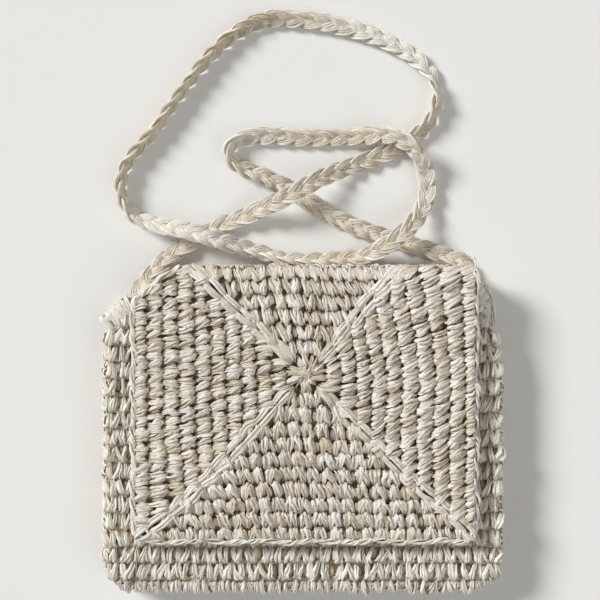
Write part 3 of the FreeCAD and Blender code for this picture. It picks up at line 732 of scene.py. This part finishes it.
def make_front_panel():
    piece, slivers, core = Piece("front_crochet"), Piece("front_slivers"), Piece("front_core")
    shape = roll_over(1, FRONT_FACE)
    frames = body_rows(MOUTH)
    add_legs(piece, frames, 0.84, 2.4, 1.15, -1.5, shape, 0.9, slivers)
    settle(slivers.build(RAFFIA), "bag", "raffia")
    settle(piece.build(RAFFIA), "bag", "raffia", "front_panel")
    add_core(core, frames, -1.1, 0.9, shape)
    add_wisps(core, frames, 0.35, 1.0, 1.2, shape)
    add_plate(core, inset_corners(FRONT, BACKING_INSET), *FRONT_BACKING)
    settle(core.build(RAFFIA, PAINTED_SHADE_HOLLOW), "bag", "raffia")


def make_back_panel():
    piece = Piece("back_crochet")
    add_legs(piece, body_rows(TOP + 2), 0.95, 2.0, 0.72, -1.1, roll_over(-1, BACK_FACE), 0.5)
    add_plate(piece, inset_corners(POUCH, BACKING_INSET), *BACK_BACKING)
    settle(piece.build(RAFFIA, PAINTED_SHADE_BACKING), "bag", "raffia_shade", "back_panel")


def wall(line, depth):
    """A shape that lays a chart of length along the outline and height on the bag's side wall."""
    outward = facing(line)
    window = np.hanning(9) / np.hanning(9).sum()
    padded = np.pad(outward, ((4, 4), (0, 0)), mode="edge")
    outward = unit(np.stack([np.convolve(axis, window, "valid") for axis in padded.T], 1))
    places = np.arange(len(line)) * np.linalg.norm(line[1] - line[0])

    def shape(verts):
        along, height, reach = verts.T
        spots, faces = (
            np.column_stack([np.interp(along, places, axis) for axis in lines.T]) for lines in (line, outward)
        )
        return at_height(spots + faces * (reach - depth)[:, None], height)

    return shape


def make_gusset():
    piece = Piece("gusset_crochet")
    line, places = rounded_path(POUCH[4:] + POUCH[:4], False, 1.0)
    shape = wall(line, 1.6)
    frames = Frames()
    level = line[:, 1] < BOTTOM + 6
    start, end = places[level][0], places[level][-1]
    for z in (8.7, 17.3):
        for spot in np.arange(start - 4, 4, -ROW):
            frames.add((spot, z), (0, 1), (-1, 0), 8.6, ROW, 0.6)
        for spot in np.arange(end + 4, places[-1] - 4, ROW):
            frames.add((spot, z), (0, 1), (1, 0), 8.6, ROW, -0.6)
    for spot in np.arange(start, end, STITCH):
        frames.add((spot, 12.6), (1, 0), (0, -1), STITCH, 8.0, 0.5)
        frames.add((spot + 3, 13.4), (1, 0), (0, 1), STITCH, 8.0, 0.5)
    add_legs(piece, frames, 0.95, 2.2, 1.05, -0.9, shape)
    add_core(piece, frames, -0.9, 0.8, shape)
    add_wisps(piece, frames, 0.45, 1.7, 1.4, shape)
    for z in (4.2, 21.8):
        add_twist(piece, at_height(line - facing(line) * 3.4, z), 2, 0.9, 16, 2.6, 2.0, 0.4)
    # The dark sheet behind the stitches is painted shade.
    section = ((2.4, 5.2), (4.6, 5.2), (4.6, 20.8), (2.4, 20.8))
    piece.grid(np.stack([at_height(line - facing(line) * depth, z) for depth, z in section], axis=1), 1)
    settle(piece.build(RAFFIA, PAINTED_SHADE_BACKING), "bag", "raffia_shade", "gusset")


def make_seams():
    """Whip stitches over the two seams between the panels and the gusset."""
    corners = [(LEFT, RIGHT_SHOULDER, 0), POUCH[0], POUCH[1], (RIGHT, RIGHT_SHOULDER, 0)]
    line, places = rounded_path(corners, False, 1.0)
    shape = wall(line, 0.6)
    across = np.array([-3.4, -2.9, -1.8, -0.6, 0.6, 1.8, 2.9, 3.4])
    lift = np.array([-1.8, -0.2, 0.7, 1.0, 1.0, 0.7, -0.2, -1.8])
    for name, z in (("back_seam_stitching", 5), ("front_seam_stitching", 21)):
        spots = np.arange(4, places[-1] - 3, 5.2)
        count = len(spots)
        vary = varied(count)
        spots = spots[:, None] + vary(0.5)
        slant = 0.45 + vary(0.08)
        paths = np.stack(np.broadcast_arrays(spots + across * slant, z + across, lift + vary(0.15)), axis=-1)
        widths = np.broadcast_to(2.4 * np.sin(np.linspace(0.5, math.pi - 0.5, len(across))), paths.shape[:2])
        piece = Piece(name + "_whip")
        piece.strands(paths, UP, widths, widths * 0.55, rng.uniform(0.3, 0.8, count), None, 0.5, shape)
        settle(piece.build(RAFFIA), "bag", "raffia_cord", name)


BAND_REACH = 25.5  # how high the band's stitches go, so that the open flap has room
BAND_BACKING = (100.6, 103.4)  # its near and far side


def make_band():
    piece = Piece("band_crochet")
    frames = Frames()
    for row, z in enumerate((4.4, 11.2, 18)):
        for x in np.arange(band_low[0] + 4 + 3 * (row % 2), band_high[0] - 3, STITCH):
            frames.add((x, z), (1, 0), (0, 1), STITCH, 7.0, 1.5)

    def face(y, sign):
        def shape(verts):
            return np.column_stack([verts[:, 0], y + sign * verts[:, 2], held(verts[:, 1], 1, BAND_REACH)])
        return shape

    outer = face(TOP - 1.6, 1)
    add_legs(piece, frames, 1.0, 2.2, 0.8, -0.9, outer)
    add_legs(piece, frames, 1.0, 1.8, 0.5, -0.8, face(band_low[1] + 1.4, -1))
    add_core(piece, frames, -0.9, 0.8, outer)
    # The dark sheet inside the band is painted shade.
    corners = np.array(rectangle((band_low[0], BAND_BACKING[0]), (band_high[0], BAND_BACKING[1])))
    piece.grid(np.array([at_height(corners[:, :2], z) for z in (band_low[2] + 0.3, band_high[2] - 0.9)]), 1)
    settle(piece.build(RAFFIA, PAINTED_SHADE_BACKING), "bag", "raffia", "top_band")


def make_mouth_edging():
    low, high = node_box("mouth_edging")
    piece = Piece("mouth_edging_cord")
    x = np.linspace(low[0], high[0], 120)
    line = at_height(np.column_stack([x, MOUTH + 0.9 + 0.3 * np.sin(x / 9)]), 23.5)
    add_twist(piece, line, 3, 1.3, 20, 2.8, 2.0)
    settle(piece.build(RAFFIA), "bag", "raffia_cord", "mouth_edging")


# ------ flap

HUB = np.array([1.3, 35.0])
ROUNDS = 10
CENTRE = 13  # from the hub to the first round
FLAP_SIDES = [  # bottom, right, top, left: the legs' direction, the rounds' depth, lean, pitch and packed
    ((0, -1), 9.45, 1.5, 9.9, 0),
    ((1, 0), 10.0, 5.6, 9.3, 1),
    ((0, 1), 9.6, 2.4, 9.6, 0),
    ((-1, 0), 9.85, 3.0, 9.3, 0.4),
]
FOLD = 102  # where the flap starts to turn over its round end
FOLD_RADIUS = TOP - FOLD
SIDES_END, RIBS_END = 111, 106  # how far over the fold the stitches and the ribs go on
FOLD_ROLL = 1.7  # the radius of the roll inside the fold, dark with painted shade
FLAP_MIDDLE = flap_low[2] + FOLD_RADIUS


def flap_frames():
    """The side stitches and the corner ribs of a square worked in rounds from the hub."""
    sides, ribs = Frames(), Frames()
    for ring in range(ROUNDS):
        for k, (out, step, lean, pitch, packed) in enumerate(FLAP_SIDES):
            out = np.array(out, float)
            along = np.array([-out[1], out[0]])
            after, after_step = FLAP_SIDES[(k + 1) % 4][:2]
            after = np.array(after)
            head = HUB + out * (CENTRE + step * ring)
            behind = CENTRE + FLAP_SIDES[k - 1][1] * (ring + 0.45)
            ahead = CENTRE + after_step * (ring + 0.45)
            phase = (0.7 * lean * ring) % pitch
            first = math.ceil((-behind - 0.1 * pitch - phase) / pitch)
            last = math.floor((ahead - 0.45 * pitch - phase) / pitch)
            for spot in np.arange(first, last + 1) * pitch + phase:
                sides.add(head + along * spot, along, out, pitch, step, lean, packed)
            stride = out * step + after * after_step
            way = unit(stride)
            place = head + after * (CENTRE + after_step * ring) - 3 * way
            ribs.add(place, (-way[1], way[0]), way, 7.0, np.linalg.norm(stride) * 1.12, 0.8)
    return sides, ribs


def flap_warp(verts):
    """Rounds that are round at the hub, and ribs that lean as the hand-made ones do."""
    x, y, height = verts[:, 0] - HUB[0], verts[:, 1] - HUB[1], verts[:, 2]
    square = np.maximum(np.maximum(np.abs(x), np.abs(y)), 1e-6)
    pull = 0.85 * (1 - ease((square - 8) / 28)) * (np.hypot(x, y) / square - 1)
    x, y = x * (1 - pull), y * (1 - pull)
    upper_right = np.sin(math.pi * np.clip(x / 110, 0, 1)) * np.clip(y / 70, 0, 1)
    lower_left = np.sin(math.pi * np.clip(-x / 111, 0, 1)) * np.clip(-y / 107, 0, 1)
    x = x - 11 * upper_right + 9 * lower_left
    edge = np.clip((108 - np.abs(x)) / 30, 0, 1) * np.clip((105 + y) / 30, 0, 1)
    x = x + edge * (0.9 * np.sin(y / 17 + 1) + 0.5 * np.sin(x / 11 + y / 23))
    y = y + edge * (1.0 * np.sin(x / 21 + 2) + 0.5 * np.sin(x / 9 - y / 19))
    return np.column_stack([x + HUB[0], y + HUB[1], height])


# The flap's left shoulder, a straight cut across its upper left corner.
SHOULDER_X, SHOULDER_Y = -79.5, 83.5
SHOULDER_START = np.array([rim_low[0] + 3, SHOULDER_Y])
SHOULDER_RUN = unit(np.array([SHOULDER_X + 2, TOP]) - SHOULDER_START)
SHOULDER_OUT = np.array([-SHOULDER_RUN[1], SHOULDER_RUN[0]])


def flap_side(sign):
    """A shape that lays a flat chart on the flap's upper (1) or lower (-1) side, and over the fold."""
    def shape(verts):
        verts = flap_warp(verts)
        beyond = np.maximum((verts[:, :2] - SHOULDER_START) @ SHOULDER_OUT, 0)
        x, y = (verts[:, :2] - SHOULDER_OUT * beyond[:, None]).T
        x = held(x, rim_low[0] + 2, rim_high[0] - 2)
        y = held(y, rim_low[1] + 1.6, math.inf)
        height = verts[:, 2]
        if sign < 0:
            laid = np.column_stack([x, np.minimum(y, FOLD), FLAP_MIDDLE - FOLD_RADIUS - height])
            return pressed(laid, FLAP_PRESSED, -1)
        crown = ease((TOP - y) / 40) * ease((y - rim_low[1]) / 30) * ease((110 - np.abs(x)) / 40)
        height = height - 0.75 * np.maximum(height, 0) * ease((y - FOLD + 7) / 5)
        turn = np.clip((y - FOLD) / FOLD_RADIUS, 0, math.pi)
        beyond = np.maximum(y - FOLD - math.pi * FOLD_RADIUS, 0)
        reach = FOLD_RADIUS + height
        return np.column_stack([
            x,
            np.minimum(y, FOLD) + reach * np.sin(turn) - beyond,
            FLAP_MIDDLE + reach * np.cos(turn) + np.where(y < FOLD, crown, 0),
        ])
    return shape


def add_ribs(piece, frames, lift, shape):
    """Two long strands side by side at each corner of each round, that dive under the next pair."""
    place, along, out, _, depth, _, _ = frames.columns()
    count = len(depth)
    vary = varied(count)
    steps = np.linspace(0, 1, 12)
    outward = (-0.1 + 1.4 * steps) * depth
    for side in (-1, 1):
        spread = side * (1.7 + 0.9 * arch(steps) ** 0.7) + vary(0.35)
        spread = spread + vary(0.5) * np.sin(math.tau * steps + rng.uniform(0, 6, (count, 1)))
        rise = 3.6 * ease(steps / 0.3) - 3.0 * ease((steps - 0.6) / 0.4) + vary(0.3)
        paths = lay(place, along, out, spread, outward, rise * lift - 1.2)
        ups = UP + vary(0.15, 3) + 0.25 * side * along[:, 0]
        widths = 4.3 * (1 + vary(0.12)) * (0.45 + 0.55 * arch(steps) ** 0.6)
        # Painted shade: each rib is darker towards its ends, where it dives under.
        painted_light = np.broadcast_to(0.55 + 0.45 * arch(steps) ** 0.5, widths.shape)
        piece.strands(paths, ups, widths, widths * 0.55, rng.uniform(0.25, 0.8, count), painted_light, 1.0, shape)


def add_hub(piece, lift, base, shape):
    """Two rings of stitches that run out from the flap's middle."""
    for reach, count, pitch in ((12.5, 12, 6.6), (7.0, 6, 5.0)):
        hub = Frames()
        for turn in np.arange(count) * math.tau / count + rng.normal(0, 0.16, count):
            way = np.array([math.cos(turn), math.sin(turn)])
            place = HUB + way * (reach - 8.5 + rng.normal(0, 0.9))
            hub.add(place, (-way[1], way[0]), way, pitch, 9.0, 2.6, 0.5)
        add_legs(piece, hub, 1.0, 2.2, lift, base + (12.5 - reach) * 0.12, shape, 0.5)


def make_flap():
    def on_flap(x, y):
        return y < SIDES_END and (np.array([x, y]) - SHOULDER_START) @ SHOULDER_OUT < 3

    def before_fold(x, y):
        return y < FOLD - 2

    sides, ribs = (frames.where(on_flap) for frames in flap_frames())
    ribs = ribs.where(lambda x, y: y < RIBS_END)
    upper, under = flap_side(1), flap_side(-1)
    piece, slivers, core = Piece("flap_crochet"), Piece("flap_slivers"), Piece("flap_core")
    add_legs(piece, sides, 0.98, 2.5, 1.0, -1.7, upper, 0.6, slivers)
    add_hub(piece, 0.8, -1.1, upper)
    add_core(core, sides, -1.3, 1.6, upper, True)
    add_wisps(core, sides, 0.3, 2.2, 1.2, upper)
    left, right, low = rim_low[0] + 2, rim_high[0] - 2, rim_low[1] + 2
    shoulder = [(SHOULDER_X, FOLD, 0), (left, SHOULDER_Y, 2)]
    corners = [(left, low, 8), (right, low, 8), (right, FOLD, 0)] + shoulder
    add_plate(core, corners, FLAP_MIDDLE + 0.3, FLAP_MIDDLE + 1.5)
    turns = np.linspace(0, math.tau, 12, endpoint=False)
    y, z = FOLD + FOLD_ROLL * np.cos(turns), FLAP_MIDDLE + FOLD_ROLL * np.sin(turns)
    core.grid(np.array([np.column_stack([np.full(12, x), y, z]) for x in (SHOULDER_X, flap_high[0])]), 1)
    settle(piece.build(RAFFIA), "flap", "raffia", "flap_panel")
    settle(core.build(RAFFIA, PAINTED_SHADE_BACKING), "flap", "raffia")
    settle(slivers.build(RAFFIA), "flap", "raffia")

    piece = Piece("flap_underside")
    add_legs(piece, sides.where(before_fold), 1.05, 1.8, 0.40, -1.6, under, 0.5)
    settle(piece.build(RAFFIA), "flap", "raffia")
    piece = Piece("flap_ribs")
    add_ribs(piece, ribs, 1.0, upper)
    add_wisps(piece, ribs, 1.0, 2.4, 1.2, upper)
    settle(piece.build(PALE), "flap", "raffia")
    piece = Piece("flap_underside_ribs")
    add_ribs(piece, ribs.where(before_fold), 0.45, under)
    add_hub(piece, 0.4, -1.3, under)
    settle(piece.build(RAFFIA), "flap", "raffia")


def make_flap_edging():
    """The chain round the flap: a pair of strands that twist slowly, on top of two plainer ones."""
    left, right, low = rim_low[0] + 1.5, rim_high[0] - 1.5, rim_low[1] + 1.5
    corners = [(SHOULDER_X, TOP - 1, 0), (left, SHOULDER_Y, 6), (left, low, 10), (right, low, 10)]
    line, places = rounded_path(corners + [(right, FOLD + 1, 0)], False, 2.0)
    line = line + wander(places, 0.6, 2, 34).T
    piece = Piece("flap_edging_chain")
    cords = ((rim_high[2] + 0.6, 1.2, 3.0, 0.62), (29.8, 0.8, 2.8, 0.5), (27.7, 0.6, 2.4, 0.45))
    for z, radius, width, tone in cords:
        path = at_height(line, z - 0.5 * max(z - 30, 0) * ease((line[:, 1] - FOLD + 9) / 7))
        add_twist(piece, path, 2, radius, 24, width, 1.8, tone, 0.5)
    # Two loose fibres at the chain's upper right end.
    fibres = [
        [(109.5, 101, 33), (110.5, 105.5, 31.5), (109.4, 110, 29), (107.6, 114, 27.5), (105.2, 115.6, 26)],
        [(110.5, 100, 32), (112.4, 104, 31), (111.8, 108.5, 29), (109.2, 111, 28), (106.8, 109.4, 27)],
    ]
    paths = np.stack([resample(nurbs_line(fibre), 0.9)[0][:17] for fibre in fibres])
    widths = np.full(paths.shape[:2], 0.8)
    piece.strands(paths, UP, widths, widths * 0.7, np.full(2, 0.8))
    settle(piece.build(PALE), "flap", "raffia_cord", "flap_edging")


# ------ strap wraps

def make_anchor(name, run, bulk):
    """Turns of pale raffia that bind the strap's end to the bag's shoulder, which goes the way of run."""
    low, high = node_box(name)
    run = np.array([*run, 0.0])
    outward = np.array([-run[1], run[0], 0.0])
    middle = (low + high) / 2 - outward * 2.5
    piece = Piece(name + "_wrap")
    angle = np.linspace(0, math.tau, 40)

    def ring(turn, wide, tall, slide):
        """A rounded rectangle round the middle."""
        x, z = (np.sign(wave) * np.abs(wave) ** 0.6 for wave in (np.cos(turn), np.sin(turn)))
        return middle + outward * (wide * bulk * x)[:, None] + UP * (tall * z)[:, None] + run * slide

    # The dark core under the turns is painted shade.
    sections = ((-8.6, 0.5), (-8.0, 0.8), (-6.8, 1.0), (0, 1.05), (6.8, 1.0), (8.0, 0.8), (8.6, 0.5))
    piece.grid(np.array([ring(angle[:-1], 6.6 * swell, 10.4 * swell, spot) for spot, swell in sections]), 1)
    climb = np.linspace(-1, 1, 9)
    for end in (-1, 1):
        paths = []
        for spot in (-4.2, -1.5, 1.3, 4.0):
            bow = 8.9 - 2.2 * climb ** 4 - 0.05 * spot ** 2 + rng.normal(0, 0.15)
            spots = outward * (spot * bulk + rng.normal(0, 0.6) * climb)[:, None]
            paths.append(middle + spots + UP * 9.6 * climb[:, None] + run * end * bow[:, None])
        widths = np.broadcast_to(3.4 - climb ** 2, (4, 9))
        piece.strands(np.array(paths), run * end, widths, widths * 0.4, rng.uniform(0.3, 0.7, 4), crease=0.7)
    for layer, (turns, grow, slant) in enumerate(((6, 0.0, 1.5), (4, 1.0, -4.0))):
        paths, ups = [], []
        for spot in np.linspace(-6.8, 6.8, turns) + rng.normal(0, 0.4, turns):
            turn = angle + rng.uniform(0, math.tau)
            slide = run * (spot + slant * np.sin(turn + 0.6) + 0.4 * np.sin(2 * turn + spot))[:, None]
            swell = grow + 0.25 * np.sin(3 * turn + spot)
            paths.append(ring(turn, 7.4 + swell, 11.0 + swell * 0.6, 0) + slide)
            ups.append(unit(paths[-1] - middle - slide))
        paths, ups = np.array(paths), np.array(ups)
        widths = 3.3 * (1 + 0.15 * np.sin(paths[..., 0] + layer))
        piece.strands(paths, ups, widths, widths * 0.42, rng.uniform(0.5, 1.0, turns), crease=0.7)
    settle(piece.build(PALE, PAINTED_SHADE_HOLLOW), "bag", "raffia_wrap", name)


def make_shoulder_strands():
    """Two thin pairs of strands that run from the strap's end down the outside of the right shoulder."""
    piece = Piece("shoulder_strands")
    for z, out in ((20.5, 0.0), (15, 1.2)):
        corners = [(112.5, 100.5, 0), (118.8 + out, 90.5, 14), (122.8 + out, 79, 10), (123.5, 66, 0)]
        line, _ = rounded_path(corners, False, 1.0)
        add_twist(piece, at_height(line, z + 0.8 * np.sin(line[:, 1] / 6)), 2, 0.8, 30, 1.9, 1.4, 0.6)
    settle(piece.build(PALE), "bag", "raffia_wrap")


# ------ lining and snap

def cotton(name, colour, dark, scale):
    """Plain woven cotton: crossing threads with slubs, about 3 * scale threads to a millimetre."""
    tree = Tree(bpy.data.materials.new(name))
    source = tree.attribute("strand")
    weave = []
    for direction in ("X", "Y"):
        wave = tree.add("TexWave", Vector=source, Scale=scale, Distortion=0.6, Detail=1)
        wave.bands_direction = direction
        weave.append(wave.outputs["Fac"])
    crossing = tree.math("MULTIPLY_ADD", weave[0], 1.0, weave[1])
    value = tree.math("MULTIPLY_ADD", crossing, 0.25, tree.noise(source, (0.15, 1.6, 1), 3))
    return tree.surface({
        "Base Color": tree.ramp(value, (0.35, dark), (0.95, colour)),
        "Roughness": 0.9,
        "Specular IOR Level": 0.2,
        "Sheen Weight": 0.25,
        "Normal": tree.bump(crossing, 0.5, 0.0002),
    })


def brass(name):
    """Stamped brass with fine scratches and a little tarnish."""
    tree = Tree(bpy.data.materials.new(name))
    source = tree.add("TexCoord").outputs["Object"]
    scratches = tree.noise(source, (300, 4000, 300), 4)
    tarnish = tree.noise(source, (180, 180, 180), 3)
    rough = tree.add("MapRange", Value=tree.math("MULTIPLY_ADD", scratches, 0.25, tarnish))
    tree.fill(rough, {"From Min": 0.4, "From Max": 0.9, "To Min": 0.22, "To Max": 0.45})
    return tree.surface({
        "Base Color": tree.ramp(tarnish, (0.35, (0.52, 0.36, 0.16)), (0.6, (0.80, 0.62, 0.33))),
        "Metallic": 1,
        "Roughness": rough.outputs["Result"],
        "Normal": tree.bump(scratches, 0.15, 0.0001),
    })


COTTON = cotton("lining_cotton", (0.76, 0.70, 0.58), (0.56, 0.49, 0.37), 0.33)
TAPE = cotton("tape_cotton", (0.66, 0.57, 0.42), (0.46, 0.38, 0.26), 0.45)
THREAD = cotton("sewing_thread", (0.85, 0.80, 0.70), (0.6, 0.54, 0.44), 1.2)


def ripple(x, y, size):
    """Slow waves of cloth that isn't stretched."""
    waves = np.sin(x / 31 + 1) * np.sin(y / 43) + 0.5 * np.sin(x / 17 - y / 23) + 0.3 * np.sin(x / 9 + y / 13)
    return size * waves


def add_cloth(piece, outline, low, high, wave):
    """A sheet of cloth within an outline, with a soft rounded edge and slow waves."""
    hub = outline.mean(axis=0)
    middle, half = (low + high) / 2, (high - low) / 2
    shares = np.linspace(0.02, 1, 16)
    edges = np.sqrt(np.clip(1 - (shares - 0.985).clip(0) ** 2 / 0.015 ** 2, 0.05, 1))
    rows = []
    for side in (1, -1):
        for share, edge in list(zip(shares, edges))[::side]:
            flat = hub + (outline - hub) * share
            lift = ripple(*flat.T, wave) * (1 - ease((share - 0.8) / 0.2))
            rows.append(np.column_stack([flat, middle + side * half * edge + lift]))
    piece.grid(np.array(rows))


def add_seam(piece, line, height, gap=3.2, length=2.2):
    """A row of small stitches of thread along a line, in the piece's second material."""
    line, places = resample(line, 0.2)
    steps = np.linspace(0, 1, 5)
    spots = np.arange(gap / 2, places[-1] - length, gap)[:, None] + steps * length
    widths = np.full(spots.shape, 0.5)
    rise = height + 0.25 * np.broadcast_to(arch(steps), spots.shape) - 0.1
    paths = np.stack([*(np.interp(spots, places, axis) for axis in line.T), rise], axis=-1)
    piece.strands(paths, UP, widths, widths * 0.7, np.full(len(spots), 0.6), crease=0.0, slot=1)


def make_cloth(name, outline, low, high, wave, seams, material, body, slot, node):
    """A flat sheet of cloth with its rows of stitches, as one piece."""
    piece = Piece(name)
    add_cloth(piece, outline[:-1], low[2], high[2], wave)
    for seam in seams:
        add_seam(piece, *seam)
    return settle(piece.build(material, THREAD), body, slot, node)


def make_linings():
    for name, corners, rests in (
        ("lining_back", inset_corners(POUCH, 5.2, 5.2, 5.2, 6.2, 5.2, 5.2), "back_crochet"),
        ("lining_front", inset_corners(FRONT, 5.2, 5.2, 5.2, 0.4, 5.2, 5.2), "front_crochet"),
    ):
        low, high = node_box(name)
        outline, _ = rounded_path(corners, True, 2.5)
        within, _ = rounded_path(inset_corners(corners, 3), True, 2)
        face = high[2] + 0.02 if name == "lining_back" else low[2] - 0.1
        seams = [(within, face, 3.4, 2.4)]
        cloth = make_cloth(name + "_cloth", outline, low, high, 0.12, seams, COTTON, "bag", "cotton", name)
    low, high = node_box("lining_gusset")
    line, places = rounded_path(inset_corners(POUCH, 5.4, 5.4, 5.4, 6.4, 5.4, 5.4), True, 2.0)
    line, places = line[:-1], places[:-1]
    outward = facing(line)
    rows = []
    heights = np.linspace(low[2], high[2], 6)
    for depth, levels in ((0.3, heights), (-0.35, heights[::-1])):
        for z in levels:
            sag = 0.35 * np.sin(math.pi * (z - low[2]) / (high[2] - low[2])) * (1 + np.sin(places / 13))
            rows.append(at_height(line + outward * (depth - sag)[:, None], z))
    rows = np.array(rows).transpose(1, 0, 2)
    piece = Piece("lining_gusset_cloth")
    piece.grid(np.concatenate([rows, rows[:1]]))
    cloth = settle(piece.build(COTTON), "bag", "cotton", "lining_gusset")


def make_pocket():
    low, high = node_box("slip_pocket")
    outline, _ = rounded_path(rectangle(low, high, 4, 4, 0.5, 0.5), True, 2)
    left, right, bottom, top = low[0] + 2, high[0] - 2, low[1] + 2, high[1] - 9
    sewn, _ = rounded_path([(left, top, 0), (left, bottom, 3), (right, bottom, 3), (right, top, 0)], False, 1)
    seams = [(sewn, high[2] + 0.05)]
    pocket = make_cloth(
        "slip_pocket_cloth", outline, low, high, 0.06, seams, COTTON, "bag", "cotton", "slip_pocket")
    low, high = node_box("pocket_binding")
    outline, _ = rounded_path(rectangle(low, high, 0.6, 0.6, 0.6, 0.6), True, 1)
    lines = (np.array([[low[0] + 1, y], [high[0] - 1, y]]) for y in (low[1] + 1.4, high[1] - 1.4))
    seams = [(line, high[2] + 0.02, 2.6, 1.8) for line in lines]
    binding = make_cloth(
        "pocket_binding_tape", outline, low, high, 0.05, seams, TAPE, "bag", "cotton_tape", "pocket_binding")


def make_snap():
    """Round tape patches with a ring of stitches, and brass for the two halves of the snap."""
    metal = brass("snap_brass")
    turns = np.linspace(0, math.tau, 49)
    circle = np.column_stack([np.cos(turns), np.sin(turns)])
    for half, body, rests in (("snap_socket", "bag", "front_crochet"), ("snap_stud", "flap", "flap_crochet")):
        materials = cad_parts[half].data.materials
        for index in range(len(materials)):
            materials[index] = metal
        low, high = node_box(half + "_patch")
        radius = (high[0] - low[0]) / 2
        centre = (low[:2] + high[:2]) / 2
        level = high[2] + 0.02 if body == "bag" else low[2] - 0.12
        seams = [(centre + circle * (radius - 1.3), level, 2.4, 1.6)]
        patch = make_cloth(
            half + "_patch_cloth", centre + circle * radius, low, high, 0.02, seams,
            TAPE, body, "cotton_tape", half + "_patch")


make_front_panel()
make_back_panel()
make_gusset()
make_seams()
make_band()
make_mouth_edging()
make_flap()
make_flap_edging()
make_shoulder_strands()
make_anchor("strap_anchor_left", (0.755, 0.656), 0.88)
make_anchor("strap_anchor_right", (0.373, -0.928), 0.72)
make_linings()
make_pocket()
make_snap()


# ------ stage

FLOOR_REACH = 3.0
floor_mesh = bpy.data.meshes.new("floor")
corners = rectangle((-FLOOR_REACH, -FLOOR_REACH), (FLOOR_REACH, FLOOR_REACH))
floor_mesh.from_pydata(corners, [], [(0, 1, 2, 3)])
floor = bpy.data.objects.new("floor", floor_mesh)
bpy.context.scene.collection.objects.link(floor)
paint = Tree(bpy.data.materials.new("floor_paint"))
floor_mesh.materials.append(paint.surface({"Base Color": (0.84, 0.83, 0.81, 1), "Roughness": 0.8}))


def sun(name, place, strength, angle):
    """A soft, even lamp that shines from place towards the bag. angle is how wide it looks, in degrees."""
    light = bpy.data.lights.new(name, "SUN")
    light.energy = strength
    light.angle = math.radians(angle)
    lamp = bpy.data.objects.new(name, light)
    lamp.location = place
    lamp.rotation_mode = "QUATERNION"
    lamp.rotation_quaternion = Vector(place).to_track_quat("Z", "Y")
    bpy.context.scene.collection.objects.link(lamp)


sun("key", (-2.6, 1.55, 1.9), 3.2, 18)
sun("fill", (1.0, -0.6, 1.3), 0.75, 50)

# The world lights the bag at a plain level, and looks as pale as the floor to the camera and in the brass.
world = bpy.data.worlds.new("studio")
tree = Tree(world)
rays = tree.add("LightPath").outputs
seen = rays["Is Camera Ray"]
for kind in ("Is Glossy Ray", "Is Transmission Ray"):
    seen = tree.math("MAXIMUM", seen, rays[kind])
tree.fill(tree.nodes["Background"], {
    "Color": (1, 0.98, 0.95, 1),
    "Strength": tree.math("MULTIPLY_ADD", seen, 0.58, 0.22),
})
bpy.context.scene.world = world

camera_data = bpy.data.cameras.new("camera")
camera_data.lens = 90.9
camera = bpy.data.objects.new("camera", camera_data)
camera.location = (-0.0019, 0.08305, 1.0)
bpy.context.scene.collection.objects.link(camera)
bpy.context.scene.camera = camera
bpy.context.scene.view_settings.view_transform = "Standard"
